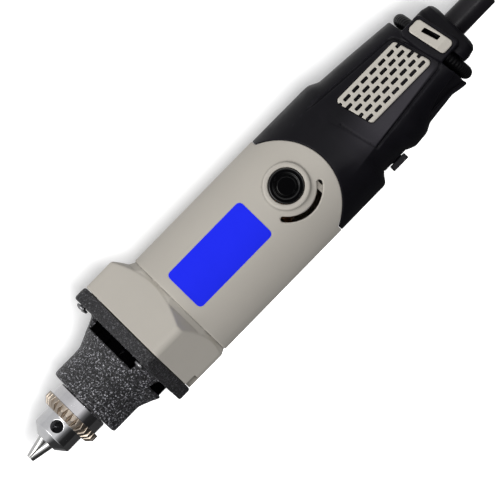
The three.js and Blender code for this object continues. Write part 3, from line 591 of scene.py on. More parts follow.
def wrinkle_paint():
    """Wrinkle paint over cast aluminium: a net of raised glossy ridges with matte valleys."""
    surface = Surface("black_wrinkle_paint")
    warp = surface.noise(2.2, roughness=0.5, output="Color")
    warped = surface.node("VectorMath", {0: warp, 1: (0.0016,) * 3, 2: surface.coords},
                          operation="MULTIPLY_ADD").outputs[0]
    net = surface.node("TexVoronoi", feature="DISTANCE_TO_EDGE")
    surface.feed(net, {"Scale": 1000 / 1.25, "Vector": warped})
    ridge = surface.grey(net.outputs["Distance"], (0.0, 0.0), (0.16, 1.0))
    fine = surface.noise(0.85, detail=4, roughness=0.7)
    # near-white specks in this ramp are painted glints on the glossy wrinkle peaks
    colour = surface.ramp(fine, [
        (0.47, lin(8, 8, 11)), (0.545, lin(28, 27, 33)),
        (0.595, lin(135, 135, 142)), (0.65, lin(235, 235, 242)),
    ])
    # behind the vents the colour is painted shade, near black and without specular, and the flange
    # is plainer
    x, radius = surface.axial()
    outer = surface.map_range(radius, from_min=0.0219, from_max=0.0224)
    ahead = surface.math("LESS_THAN", x, -0.0128)
    clear_of_vent_shade = surface.math("MAXIMUM", outer, ahead)
    on_flange = surface.math("GREATER_THAN", x, -0.0069)
    plain = surface.math("MULTIPLY", on_flange, 0.75)
    colour = surface.mix(plain, colour, lin(18, 17, 22))
    colour = surface.mix(clear_of_vent_shade, lin(4, 4, 5), colour)
    height = surface.mix(0.45, ridge, fine)
    surface.feed(surface.bsdf, {
        "Base Color": colour,
        "Roughness": surface.grey(fine, (0.35, 0.60), (0.7, 0.22)),
        "Specular IOR Level": surface.math("MULTIPLY", clear_of_vent_shade, 0.8),
        "Normal": surface.bump(height, strength=1.0, distance=0.0006),
    })
    return surface


# slot: name, sRGB, roughness, colour variation, grain, grain mm, edge wear, specular, mottle mm
PLASTICS = {
    "grey_plastic": ("grey_housing_plastic", (192, 187, 178), 0.5, 0.02, 0.10, 0.45, 0.08, 0.3, 26),
    "black_plastic": ("black_handle_plastic", (17, 16, 21), 0.40, 0.14, 0.30, 0.55, 0.6, 0.13, 14),
    "pale_plastic": ("pale_trim_plastic", (205, 200, 190), 0.5, 0.03, 0.08, 0.4, 0.06, 0.5, 12),
    "switch_black": ("switch_plastic", (26, 25, 30), 0.45, 0.08, 0.15, 0.5, 0.4, 0.2, 5),
    "dial_black": ("dial_plastic", (10, 10, 12), 0.38, 0.1, 0.12, 0.5, 0.6, 0.16, 4),
    "cord_rubber": ("cord_rubber", (28, 26, 31), 0.36, 0.12, 0.12, 0.8, 0.3, 0.3, 10),
    "gloss_black": ("gloss_black_cap", (3, 3, 4), 0.12, 0.15, 0.03, 0.7, 0.5, 0.07, 4),
    "label_blue": ("blue_label_film", (33, 47, 255), 0.6, 0.02, 0.05, 0.3, 0, 0.06, 18),
    "carbon": ("brush_carbon", (48, 48, 50), 0.6, 0.2, 0.3, 0.5, 0, 0.5, 2),
    "board": ("circuit_board_green", (38, 92, 58), 0.4, 0.12, 0.1, 0.5, 0, 0.5, 4),
    "film": ("capacitor_case", (196, 150, 56), 0.35, 0.08, 0.1, 0.5, 0, 0.5, 5),
    "nylon": ("natural_nylon", (220, 216, 203), 0.5, 0.05, 0.1, 0.5, 0, 0.5, 5),
}
# slot: name, linear colour, roughness, streak stretch, streak mm, bump, colour variation
METALS = {
    "chrome_plate": ("chrome_plate", (0.82, 0.82, 0.83), 0.09, (40, 1, 1), 1.2, 0.03, 0.04),
    "jaw_steel": ("jaw_steel", (0.70, 0.70, 0.69), 0.20, (1, 14, 14), 1.0, 0.10, 0.08),
    "screw_steel": ("screw_steel", (0.32, 0.32, 0.33), 0.28, (1, 1, 1), 0.8, 0.10, 0.2),
    "steel": ("bearing_steel", (0.55, 0.55, 0.56), 0.25, (20, 1, 1), 1.0, 0.05, 0.08),
    "iron": ("lamination_steel", (0.20, 0.20, 0.21), 0.45, (60, 1, 1), 1.5, 0.3, 0.15),
    "copper": ("copper_wire", (0.72, 0.36, 0.17), 0.35, (1, 30, 30), 1.0, 0.4, 0.15),
    "brass": ("brass_sheet", (0.70, 0.52, 0.24), 0.3, (1, 1, 1), 1.0, 0.08, 0.1),
    "aluminium": ("bare_aluminium", (0.60, 0.60, 0.61), 0.35, (10, 1, 1), 1.0, 0.1, 0.1),
}
SURFACES = {slot: plastic(*row) for slot, row in PLASTICS.items()}
SURFACES.update({slot: metal(*row) for slot, row in METALS.items()})
add_painted_panel_sheen(SURFACES["black_plastic"])
shine_edges_only(SURFACES["gloss_black"])
SURFACES["chrome"] = chuck_chrome()
SURFACES["sleeve_steel"] = sleeve_steel()
SURFACES["crackle_paint"] = wrinkle_paint()

# ------------------------------------------------------------------ shared dimensions (mm)
TILT = math.radians(6.4)  # the brush axis and the label lean this far from +z towards +y
BRUSH_X = 96.5
BARREL_R = 28.7
FLANGE_TURN = -33.3  # azimuth of the square flange's flats, degrees
FLANGE_CORNER_R = 3.6
SCREW_CIRCLE_R = 31.3
SCREW_HOLE_R = 2.1
# three corners of the square flange carry screws
SCREW_PLACES = [
    tuple(SCREW_CIRCLE_R * part for part in across(FLANGE_TURN + 45 - 90 * i)[1:])
    for i in range(3)
]


def flange_square(y, z, half, flat):
    """Rounded square turned to the flange, cut off flat on the -y side."""
    sides = []
    for turn in (FLANGE_TURN, FLANGE_TURN + 90):
        _, side_y, side_z = across(turn)
        sides.append(np.abs(y * side_y + z * side_z) - (half - FLANGE_CORNER_R))
    return overlap(rounded_corner(*sides, FLANGE_CORNER_R), -y - flat, fillet=1.6)


# ------------------------------------------------------------------ nose casting
NOSE_FRONT = -38.2
VENT_TURNS = (-32, 88, 208)
VENT_HALF_ANGLE = 44
GUARD_SLOTS = 17
# (x, radius) outside and in the bore
NOSE_OUTSIDE = [
    (-45, 18.9), (-38.2, 18.9), (-23.6, 18.9), (-22.0, 19.05), (-20.5, 19.5), (-18.5, 20.35),
    (-16.0, 21.4), (-13.6, 22.6), (-12.1, 23.1), (-9.5, 24.2), (-6.5, 25.6), (5, 25.6),
]
NOSE_BORE = [
    (-45, 9.5), (-36.5, 9.5), (-36.49, 14.35), (-20.0, 14.35),
    (-18.9, 18.7), (-12.0, 20.7), (-7.0, 22.6), (5, 22.6),
]


def nose_casting(x, y, z):
    radius = hyp(y, z)
    shape = (radius - lookup(x, NOSE_OUTSIDE)) * 0.9
    shape = overlap(shape, NOSE_FRONT - x, fillet=1.6)
    shape = overlap(shape, x + 3.0)
    flange = flange_square(y, z, half=27.4, flat=30.1)
    flange = overlap(flange, slab(x, -7.05, -0.15), fillet=1.3)
    shape = union(shape, flange, fillet=1.2)
    angle = azimuth(y, z)
    for turn in VENT_TURNS:
        away = np.abs(wrapped(angle - math.radians(turn), 2 * math.pi))
        away = away - math.radians(VENT_HALF_ANGLE)
        vent = overlap(away * radius, slab(x, -12.1, -7.05), fillet=1.2)
        shape = cut(shape, overlap(vent, 16.5 - radius), fillet=0.7)
    shape = cut(shape, (radius - lookup(x, NOSE_BORE)) * 0.9)
    # slotted guard ring behind the vents, and the web that holds it
    guard = overlap(slab(radius, 21.0, 21.9), slab(x, -13.0, -1.0))
    web = overlap(slab(radius, 21.0, 23.0), slab(x, -3.0, -1.0))
    away = wrapped(angle + math.pi, math.radians(360 / GUARD_SLOTS))
    slots = overlap(np.abs(radius * np.sin(away)) - 0.8, slab(x, -11.9, -7.3),
                    slab(radius, 19.6, 22.2))
    shape = union(shape, cut(union(guard, web), slots))
    for hole_y, hole_z in SCREW_PLACES:
        shape = cut(shape, hyp(y - hole_y, z - hole_z) - SCREW_HOLE_R)
    return shape


def cast_skin(verts):
    """Small lumps on the painted outside only."""
    limit = np.where(verts[:, 0] > -12.8, 22.2, 15.2)
    outside = np.hypot(verts[:, 1], verts[:, 2]) > limit
    lumps = 0.6 * value_noise(verts, 1.1, seed=3) + 0.4 * value_noise(verts, 0.6, seed=5)
    return np.where(outside, 0.13 * lumps, 0.0)


sculpt("nose_cast_body", nose_casting, (-38.3, -31.2, -37.2), (0, 36.2, 37.2), 0.40,
       "casing", "crackle_paint", "nose_casting", skin=cast_skin)

# ------------------------------------------------------------------ fan behind the vents
FAN_BLADES = 20
FAN_FRONT, FAN_BACK = -17.6, -7.8


def fan(x, y, z):
    radius = hyp(y, z)
    hub = drum(radius, 8.0, x, FAN_FRONT, FAN_BACK)
    plate = drum(radius, 18.0, x, -9.4, FAN_BACK)
    away = wrapped(azimuth(y, z) - 0.1, 2 * math.pi / FAN_BLADES)
    blades = overlap(np.abs(radius * np.sin(away)) - 0.6, slab(radius, 7.4, 17.95),
                     slab(x, FAN_FRONT, -8.4))
    shape = union(union(hub, plate, fillet=0.6), blades, fillet=0.5)
    return cut(shape, radius - 5.4)


sculpt("fan_wheel", fan, (-17.7, -18.1, -18.1), (-7.7, 18.1, 18.1), 0.42,
       "rotor", "black_plastic", "cooling_fan")

# ------------------------------------------------------------------ motor housing
TONGUE_X = 88.5  # centre of the arched tongue that runs back into the handle
TONGUE_START = 100.1
LABEL_X = (29.6, 76.9)
LABEL_WIDTH = 21.6
LABEL_CORNER_R = 2.3
LABEL_CENTRE = (LABEL_X[1] + LABEL_X[0]) / 2
LABEL_HALF_LENGTH = (LABEL_X[1] - LABEL_X[0]) / 2
LABEL_HALF_ARC = BARREL_R * math.asin(LABEL_WIDTH / 2 / BARREL_R)  # along the skin
AIR_SLOT_R = 15.0
AIR_SLOT_HALF_ANGLE = math.radians(51.5)


def brush_frame(x, y, z):
    """Coordinates about the brush axis: two across it, then one along it."""
    along = y * math.sin(TILT) + z * math.cos(TILT)
    return x - BRUSH_X, y * math.cos(TILT) - z * math.sin(TILT), along


def label_plan(x, y, z, grow):
    """Rounded rectangle wrapped on the barrel, measured along the skin."""
    arc = (np.arctan2(y, z) - TILT) * BARREL_R
    lengthwise = np.abs(x - LABEL_CENTRE) - (LABEL_HALF_LENGTH + grow - LABEL_CORNER_R)
    crosswise = np.abs(arc) - (LABEL_HALF_ARC + grow - LABEL_CORNER_R)
    return rounded_corner(lengthwise, crosswise, LABEL_CORNER_R)


def housing(x, y, z):
    radius = hyp(y, z)
    block = flange_square(y, z, half=27.07, flat=29.4)
    cone = (radius - (27.1 + 1.6 * (22.6 - x))) * 0.53
    block = overlap(block, cone, fillet=0.7)
    block = overlap(block, x - 25.4, fillet=0.4)
    # the barrel stands up behind the cone, and the band between them falls away towards it
    barrel = overlap(radius - BARREL_R, 24.2 - x, fillet=0.3)
    over_flat = np.clip(26.6 - 0.5 * (x - 22.8), 25.95, 26.6).astype(F)
    over_corner = np.clip(28.7 - 0.55 * (x - 22.6), 27.9, 29.8).astype(F)
    band = flange_square(y, z, half=over_flat, flat=29.4)
    band = overlap(band, radius - over_corner, fillet=0.3) * 0.88
    shape = union(block, barrel, band)
    shape = overlap(shape, 0.15 - x, fillet=0.5)

    # rings that hold the brush caps
    brush_x, brush_y, brush_z = brush_frame(x, y, z)
    brush_r = hyp(brush_x, brush_y)
    ring = overlap(brush_r - 10.9, np.abs(brush_z) - 29.75, fillet=0.9)
    shape = union(shape, ring, fillet=0.5)
    bore = lookup(x, [(-5, 25.2), (24, 25.2), (25, 26.2), (130, 26.2)])
    shape = cut(shape, (radius - bore) * 0.95)
    shape = overlap(shape, 8.5 - brush_r, fillet=0.5)

    # curved air slot on the switch side of each cap
    end_x, end_y = math.sin(AIR_SLOT_HALF_ANGLE), math.cos(AIR_SLOT_HALF_ANGLE)
    side_x, side_y = np.abs(brush_x), -brush_y
    past_end = end_y * side_x > end_x * side_y
    to_end = hyp(side_x - AIR_SLOT_R * end_x, side_y - AIR_SLOT_R * end_y)
    air_slot = np.where(past_end, to_end, np.abs(brush_r - AIR_SLOT_R)) - 1.3
    shape = cut(shape, air_slot, fillet=0.45)

    tongue = union(x - TONGUE_START, hyp(x - TONGUE_X, y) - BARREL_R, fillet=0.3)
    shape = overlap(shape, tongue, fillet=0.35)
    notch = overlap(slab(x, -2, 6.1), y + 27.1, slab(z, -7, 14))
    shape = cut(shape, notch, fillet=0.4)
    shape = cut(shape, overlap(label_plan(x, y, z, grow=0.25), 28.55 - radius))

    # rear bearing bridge and cup
    bridge = overlap(slab(x, 105.6, 108.2), np.abs(y) - 12, radius - 26.6)
    cup = overlap(slab(x, 105.6, 115.6), slab(radius, 12.8, 15.2))
    shape = union(shape, cut(union(bridge, cup), radius - 6.6))
    in_cup = (x > 108.3) & (x < 118) & (radius < 12.8)
    shape = np.where(in_cup, cut(shape, radius - 12.8), shape)
    for hole_y, hole_z in SCREW_PLACES:
        shape = cut(shape, overlap(hyp(y - hole_y, z - hole_z) - SCREW_HOLE_R, x - 12))
    return shape


sculpt("housing_body", housing, (0, -30.2, -37.2), (117.4, 36.2, 37.2), 0.55,
       "casing", "grey_plastic", "motor_housing")


def label_mesh():
    """A thin film on the barrel: outer sheet, inner sheet and the rim between them."""
    rows, columns = 120, 64
    along = np.linspace(-1, 1, rows) * LABEL_HALF_LENGTH
    into_corner = np.maximum(0.0, np.abs(along) - (LABEL_HALF_LENGTH - LABEL_CORNER_R))
    reach = np.sqrt(np.maximum(LABEL_CORNER_R**2 - into_corner**2, 0.0))
    half_width = LABEL_HALF_ARC - LABEL_CORNER_R + reach
    angle = half_width[:, None] * np.linspace(-1, 1, columns) / BARREL_R + TILT
    place = np.repeat(along[:, None] + LABEL_CENTRE, columns, 1)
    verts = np.concatenate([
        np.stack([place, radius * np.sin(angle), radius * np.cos(angle)], -1).reshape(-1, 3)
        for radius in (28.78, 28.40)
    ])
    sheet = rows * columns
    grid = np.arange(sheet).reshape(rows, columns)
    outer = np.stack([grid[:-1, :-1], grid[1:, :-1], grid[1:, 1:], grid[:-1, 1:]], -1)
    outer = outer.reshape(-1, 4)
    inner = outer[:, ::-1] + sheet
    rim = np.concatenate([grid[:, 0], grid[-1, 1:], grid[-2::-1, -1], grid[0, -2:0:-1]])
    following = np.roll(rim, -1)
    side = np.stack([following, rim, rim + sheet, following + sheet], 1)
    return verts, np.concatenate([outer, inner, side])


add_piece("label_film", *label_mesh(), "casing", "label_blue", "name_label", sharp=40)

# ------------------------------------------------------------------ brush caps


def brush_cap(sign):
    def field(x, y, z):
        brush_x, brush_y, brush_z = brush_frame(x, y, z)
        out = brush_z * sign
        radius = hyp(brush_x, brush_y)
        shape = drum(radius, 8.2, out, 26.0, 30.1, fillet=1.0)
        dish = overlap(radius - 5.9, 28.0 - out, fillet=0.5)
        shape = cut(shape, dish, fillet=0.6)
        button = drum(radius, 4.6, out, 26.5, 28.7, fillet=0.7)
        return union(shape, button, fillet=0.25)
    return field


for side, sign, low, high in (
    ("top", 1, (88.0, -12.0, 24.5), (105.0, 13.0, 31.5)),
    ("bottom", -1, (88.0, -13.0, -31.5), (105.0, 12.0, -24.5)),
):
    sculpt(f"brush_cap_{side}_moulding", brush_cap(sign), low, high, 0.2,
           "casing", "gloss_black", f"brush_cap_{side}", true_normals=True)

# ------------------------------------------------------------------ handle
# x, half-width towards +y, half-width towards -y, half-height, squareness exponent
STATIONS = np.array([
    [90.0, 28.5, 28.7, 28.7, 2.0],
    [98.0, 28.5, 28.7, 28.7, 2.0],
    [117.0, 28.4, 28.6, 28.5, 2.1],
    [129.0, 28.3, 28.6, 27.7, 2.3],
    [132.2, 28.3, 23.9, 27.3, 2.5],
    [136.2, 28.1, 23.9, 26.9, 2.6],
    [140.8, 25.6, 24.0, 26.3, 2.8],
    [146.3, 25.2, 24.2, 25.9, 2.8],
    [150.8, 24.9, 26.2, 25.6, 2.8],
    [159.0, 24.2, 25.6, 25.1, 2.8],
    [162.7, 23.9, 23.4, 24.9, 2.8],
    [179.5, 22.3, 21.7, 24.5, 2.8],
    [182.5, 22.0, 22.4, 24.5, 2.8],
    [186.5, 21.8, 23.0, 24.4, 2.8],
    [192.0, 21.5, 22.4, 24.3, 2.8],
])
# the stations, resampled along x and smoothed with a bell curve
FINE_STEP = 0.25
FINE_X = np.arange(88, 196, FINE_STEP)
BELL = np.exp(-0.5 * (np.arange(-12, 13) * FINE_STEP / 0.8) ** 2)
BELL /= BELL.sum()
FINE_SECTIONS = [
    np.convolve(np.pad(np.interp(FINE_X, STATIONS[:, 0], column), 12, mode="edge"), BELL, "valid")
    for column in STATIONS.T[1:]
]
DIAL_X = 188.65
DIAL_TILT = math.radians(6.1)  # the dial's axis leans from +x towards +y
DIAL_GAP = 3.7  # half-width of the gap the dial turns in
TONGUE_CLEARANCE = 0.18

# outlines in (x, y)
PANEL = [(127.2, 20.5), (175.9, 16.4), (178.6, 15.3), (185.4, -7.1), (182.7, -9.0), (137.6, -13.9)]
PANEL_GROOVE = PANEL + [(133.6, 5.0)]  # open at its end nearest the chuck
GRILLE = [(139.2, 14.2), (177.6, 14.2), (183.4, -4.9), (144.0, -4.9)]
BEZEL = [(185.0, 13.6), (192.6, 13.6), (196.4, -5.8), (189.0, -6.0)]
WINDOW = [(189.2, 8.6), (191.7, 8.6), (194.1, 0.6), (191.6, 0.6)]
DIAL_BRIDGE = [(181.5, 15.0), (193.9, 15.0), (198.4, -7.6), (184.2, -8.0)]
SCOOP = [(159.5, -26.5), (166, -20.0), (174, -17.3), (190, -15.2)]
HANDLE_SCREWS = [(123.5, 17.5), (123.5, -19.5), (173.5, 15.0), (173.5, -15.5)]
OUTLINE_CORNER_R = 2.0
WINDOW_CORNER_R = 0.4
INNER_RIB_SLOTS = (9.8, 6.45, 3.1, -0.3)  # y of the slots under the grille

# the tail block: (x, half-width) and (x, half-height)
TAIL_END = 202.2
TAIL_WIDTH = [(185, 15.2), (196.5, 15.2), (200.2, 14.2), (201.6, 12.8), (TAIL_END, 11.4)]
TAIL_HEIGHT = [(185, 21.6), (196.5, 21.2), (200.4, 19.0), (TAIL_END, 16.0)]
TAIL_CORNER_R = 5.5


def handle_form(x, y, z):
    """Superellipse along the stations, with its half-widths and half-height."""
    plus, minus, height, power = (np.interp(x, FINE_X, s).astype(F) for s in FINE_SECTIONS)
    part_z = np.abs(z) / height
    part_y = np.abs(y) / np.where(y > 0, plus, minus)
    ratio = (np.maximum(part_y, 1e-4) ** power + np.maximum(part_z, 1e-4) ** power) ** (1 / power)
    radius = hyp(y, z) / np.maximum(ratio, 1e-3)
    return (ratio - 1) * np.minimum(radius, 30), plus, minus, height


def scoop_thumb_relief(shape, form, x, y, z):
    """The scoop that runs into the dial on the switch side."""
    edge = polyline(x, y, SCOOP)
    below = y < np.interp(x, *zip(*SCOOP))
    depth = np.where(below, np.minimum(edge, 3.0), -edge)
    floor_height = (z - (15.0 - 0.35 * (x - 160) + 0.55 * edge)) * 0.8
    tool = overlap(-depth, -floor_height, fillet=1.0)
    tool = overlap(tool, -(form + 1.7), fillet=0.5)
    return np.where(x > 157, cut(shape, overlap(tool, 158 - x), fillet=0.5), shape)


def tail_block(x, y, z, dial_along):
    over_y = np.abs(y) - (lookup(x, TAIL_WIDTH) - TAIL_CORNER_R)
    over_z = np.abs(z) - (lookup(x, TAIL_HEIGHT) - TAIL_CORNER_R)
    tail = rounded_corner(over_y, over_z, TAIL_CORNER_R) * 0.8
    tail = overlap(tail, x - TAIL_END, fillet=1.2)
    return overlap(tail, DIAL_GAP - dial_along, fillet=0.6)


def handle_shell(side):
    """Half of the handle: side 1 is the upper shell, -1 the lower; z below is outwards."""
    def field(x, y, world_z):
        z = world_z * side
        form, plus, minus, height = handle_form(x, y, world_z)
        axis_r = hyp(y, z)
        # gently crowned top, with a crease where it turns down to the flanks
        rise = np.clip((x - 118) / 16, 0, 1)
        top = z - (height - 1.1 + 1.1 * (1 - rise)) - 0.0006 * (400 - y * y) * rise
        shape = overlap(form, top, fillet=1.4)
        for flank_y, width, drop, slack in ((y, plus, 7.8, 4.4), (-y, minus - 1.2, 8.0, 4.6)):
            bevel = (flank_y - width) * 0.62 + (z - (height - drop)) * 0.785
            bevelled = overlap(shape, bevel - slack * (1 - rise) - 0.4, fillet=0.7)
            shape = np.where(x > 110, bevelled, shape)
        dial_along = (x - DIAL_X) * math.cos(DIAL_TILT) + y * math.sin(DIAL_TILT)
        dial_across = -(x - DIAL_X) * math.sin(DIAL_TILT) + y * math.cos(DIAL_TILT)
        dial_r = hyp(dial_across, z)
        if side > 0:
            shape = scoop_thumb_relief(shape, form, x, y, z)
        shape = np.where(y < -14, overlap(shape, dial_along + 3.5, fillet=0.7),
                         overlap(shape, dial_along + DIAL_GAP, fillet=0.8))
        shape = union(shape, tail_block(x, y, z, dial_along))
        # bridge over the dial
        bridge = round_poly(x, y, DIAL_BRIDGE, 2.2)
        bridge = overlap(bridge, slab(z, 19.0, 24.9), fillet=1.0)
        shape = union(shape, bridge, fillet=1.2)
        solid = cut(shape, overlap(np.abs(dial_along) - DIAL_GAP, dial_r - 22.5))

        # hollow, with a neck through the dial and screw bosses
        hollow = overlap(form + 2.4, z - (height - 3.9), x - 179.6)
        shape = union(cut(solid, hollow), drum(axis_r, 12.3, x, 181, 195))
        for boss_x, boss_y in HANDLE_SCREWS:
            boss = overlap(hyp(x - boss_x, y - boss_y) - 3.9, z - 20, solid + 0.6)
            shape = union(shape, boss)
        # room for the housing's arched tongue
        tongue = union(x - (TONGUE_START + TONGUE_CLEARANCE),
                       hyp(x - TONGUE_X, y) - (BARREL_R + TONGUE_CLEARANCE))
        shape = cut(shape, tongue, fillet=0.35)

        # panel: a shallow step with a fine groove round it
        panel = polygon(x, y, PANEL)
        groove_line = polyline(x, y, PANEL_GROOVE) if side > 0 else np.abs(panel)
        groove_depth = np.clip((x - 126.5) / 6, 0.3, 1) * 0.85
        groove = np.maximum(groove_depth - groove_line * 0.95, 0)
        shape = np.where((z > 8) & (form > -2.0), shape + groove, shape)
        plane = height - 1.1 - 0.45 * np.clip((x - 130) / 12, 0, 1)
        shape = cut(shape, overlap(panel + 0.2, plane - z), fillet=0.3)

        # grille pocket, the ledge round it and the slotted floor
        grille = round_poly(x, y, GRILLE, OUTLINE_CORNER_R)
        shape = cut(shape, overlap(grille - 0.25, 15 - z))
        ledge = overlap(grille - 0.8, -(grille + 1.7), slab(z, 20.2, 22.2))
        pocket_floor = overlap(grille - 1.4, slab(z, 20.2, 21.0))
        for slot_y in INNER_RIB_SLOTS:
            slot = overlap(slab(x, 148, 174), np.abs(y - slot_y) - 0.6)
            pocket_floor = cut(pocket_floor, slot)
        shape = union(shape, ledge, pocket_floor)
        if side > 0:
            bezel = round_poly(x, y, BEZEL, OUTLINE_CORNER_R)
            shape = cut(shape, overlap(bezel - 0.25, 23.15 - z), fillet=0.15)
            window = round_poly(x, y, WINDOW, WINDOW_CORNER_R)
            shape = cut(shape, overlap(window - 0.2, 18 - z))

        # cord passage and boot seat, then the ring groove beside the dial
        shape = cut(shape, drum(axis_r, 9.5, x, 170, 199.2))
        shape = cut(shape, overlap(axis_r - 6.5, 190 - x), fillet=0.4)
        shape = cut(shape, overlap(slab(dial_along, -5.4, -3.0), slab(dial_r, 13.7, 19.4)))
        # switch opening
        opening = overlap(slab(x, 132.6, 146.7), np.abs(z) - 7.3, y + 17)
        shape = cut(shape, opening, fillet=0.3)
        if side < 0:
            for hole_x, hole_y in HANDLE_SCREWS:
                recess = overlap(hyp(x - hole_x, y - hole_y) - 3.4, 16.6 - z)
                shape = cut(shape, recess, fillet=0.3)
        return overlap(shape, 0.12 - z, fillet=0.25)
    return field


sculpt("handle_shell_upper", handle_shell(1), (99.8, -29.2, 0), (202.5, 29.2, 29.4), 0.42,
       "casing", "black_plastic", "handle_shell_top")
sculpt("handle_shell_lower", handle_shell(-1), (99.8, -29.2, -29.4), (202.5, 29.2, 0), 0.5,
       "casing", "black_plastic", "handle_shell_bottom")

# ------------------------------------------------------------------ grilles and bezel
SLOT_ROWS = [(11.5, 144.4), (8.1, 142.0), (4.8, 145.0), (1.4, 142.4), (-2.0, 145.2)]  # y, first x
SLOT_PITCH = 5.62


def grille_plate(side):
    def field(x, y, z):
        top = lookup(x, [(138, 25.75), (184, 23.9)])
        plan = round_poly(x, y, GRILLE, OUTLINE_CORNER_R)
        shape = overlap(plan, slab(z * side, 22.45, top), fillet=0.9)
        for row_y, row_x in SLOT_ROWS:
            nearest = np.clip(np.round((x - row_x) / SLOT_PITCH), -1, 7)
            over_x = np.abs(x - row_x - nearest * SLOT_PITCH) - 1.5
            slot = rounded_corner(over_x, np.abs(y - row_y) - 0.3, 0.5)
            shape = cut(shape, slot, fillet=0.2)
        return shape
    return field


sculpt("grille_upper", grille_plate(1), (138.5, -6, 22), (184, 15.2, 26.4), 0.2,
       "casing", "pale_plastic", "grille_top")
sculpt("grille_lower", grille_plate(-1), (138.5, -6, -26.4), (184, 15.2, -22), 0.28,
       "casing", "black_plastic", "grille_bottom")


def window_bezel(x, y, z):
    """A flat middle with the window in it, and both ends sloping down."""
    off_middle = np.abs(y - 4.0)
    top = 25.7 - 0.16 * np.maximum(off_middle - 5.9, 0) - 0.10 * np.maximum(off_middle - 6.1, 0)
    shape = overlap(round_poly(x, y, BEZEL, OUTLINE_CORNER_R), slab(z, 23.35, top), fillet=0.7)
    return cut(shape, round_poly(x, y, WINDOW, WINDOW_CORNER_R), fillet=0.35)


sculpt("dial_window_bezel", window_bezel, (184, -6.8, 23), (197.2, 14.2, 26), 0.18,
       "casing", "pale_plastic", "dial_bezel")

# ------------------------------------------------------------------ speed dial ring
DIAL_HALF = 3.2  # half its thickness, and the radius of its round rim
DIAL_BORE_R = 14.0
DIAL_RIM_R = 18.8  # where the round rim begins
KNURLS = 66


def place_dial(verts):
    cos, sin = math.cos(DIAL_TILT), math.sin(DIAL_TILT)
    x = verts[:, 0] * cos - verts[:, 1] * sin + DIAL_X
    y = verts[:, 0] * sin + verts[:, 1] * cos
    return np.stack([x, y, verts[:, 2]], 1)


def knurl(along, radius, angle):
    groove = np.maximum(0, np.cos(angle * KNURLS)) ** 3
    on_rim = np.clip((radius - 18.9) / 1.6, 0, 1)
    return along * (1 - 0.03 * groove * on_rim), radius - 0.34 * groove * on_rim


dial_rim = [
    (DIAL_HALF * math.cos(a), DIAL_RIM_R + DIAL_HALF * math.sin(a))
    for a in np.linspace(0, math.pi, 25)
]
dial_profile = [(-DIAL_HALF, DIAL_BORE_R), (DIAL_HALF, DIAL_BORE_R)] + dial_rim
dial_verts, dial_quads = turned(fine_profile(dial_profile, 0.5), KNURLS * 9, knurl)
add_piece("speed_dial_ring", place_dial(dial_verts), dial_quads,
          "dial", "dial_black", "speed_dial", sharp=50)

# ------------------------------------------------------------------ switch
SLIDE_X = (135.8, 144.9)
SLIDE_MIDDLE = 140.35
SLIDE_RIB_PITCH = 1.5


def switch_frame(x, y, z):
    plate = overlap(slab(x, 132.9, 146.4), np.abs(z) - 7)
    plate = overlap(plate, slab(y, -24.1, -21.4), fillet=0.5)
    hole = overlap(slab(x, 134.0, 143.6), np.abs(z) - 2.6, fillet=0.8)
    return cut(plate, hole, fillet=0.3)


def switch_slide(x, y, z):
    shape = overlap(slab(x, *SLIDE_X), np.abs(z) - 5.6, fillet=1.2)
    shape = overlap(shape, slab(y, -27.5, -24.4), fillet=0.5)
    ribs = y + 27.22 + 0.16 * np.cos((x - SLIDE_MIDDLE) * (2 * math.pi / SLIDE_RIB_PITCH))
    ribbed = (np.abs(x - SLIDE_MIDDLE) < 3.6) & (np.abs(z) < 4.6)
    shape = np.where(ribbed, cut(shape, ribs, fillet=0.1), shape)
    stem = overlap(slab(x, 137.8, 143.2), np.abs(z) - 2.2, slab(y, -25, -15.4))
    return union(shape, stem)


sculpt("switch_frame", switch_frame, (132.6, -24.4, -7.3), (146.7, -21.1, 7.3), 0.22,
       "casing", "black_plastic", "switch_bezel")
sculpt("switch_thumb_slide", switch_slide, (135.4, -27, -6), (145.3, -15, 6), 0.2,
       "switch", "switch_black", "switch_slider")

# ------------------------------------------------------------------ cord boot and cord
# (x, radius) profiles
BOOT_FRONT = [
    (195.4, 3.8), (195.4, 8.7), (195.7, 9.0), (198.5, 9.0),
    (198.8, 8.7), (198.8, 6.25), (204, 6.25), (222, 6.2),
]
BOOT_END = [(244.6, 5.1), (245.6, 4.9), (246.0, 4.4), (246.0, 3.8)]
CORD = [(166, 0.02), (166, 3.3), (166.2, 3.5), (261.6, 3.5), (262, 3.1), (262, 0.02)]

boot_grooves = []
for i in range(6):
    groove_x = 224 + i * 3.4
    rib_r = 6.15 - i * 0.14
    boot_grooves += [(groove_x - 1.0, rib_r), (groove_x - 0.5, rib_r - 0.9),
                     (groove_x + 0.6, rib_r - 0.9), (groove_x + 1.1, rib_r)]
boot_profile = fine_profile(BOOT_FRONT + boot_grooves + BOOT_END, 0.6)
add_piece("cord_boot_sleeve", *turned(boot_profile, 96),
          "casing", "cord_rubber", "cord_boot", sharp=45)
add_piece("cord_cable", *turned(fine_profile(CORD, 3.0), 72),
          "casing", "cord_rubber", "power_cord", sharp=45)

# ------------------------------------------------------------------ chuck
JAW_SLOPE = math.radians(14)
JAW_TURNS = (52, 172, 292)
JAW_TIP_X = -73.5
SLEEVE_TEETH = 30
# (x, radius) outlines
CHUCK_BODY = [
    (-63.0, -2.0), (-63.0, 5.4), (-59.4, 9.95), (-59.0, 10.2), (-50.6, 10.2), (-50.6, 10.9),
    (-48.9, 10.9), (-48.9, 7.6), (-43.1, 7.6), (-43.1, 10.9), (-38.9, 10.9), (-38.9, -2.0),
]
SLEEVE = [
    (-50.3, 11.2), (-50.3, 12.7), (-47.9, 15.0), (-44.8, 15.0), (-44.8, 13.2), (-39.1, 13.2),
    (-38.6, 12.7), (-38.6, 11.25), (-42.6, 11.25), (-42.6, 12.2), (-49.4, 12.2), (-49.4, 11.2),
]


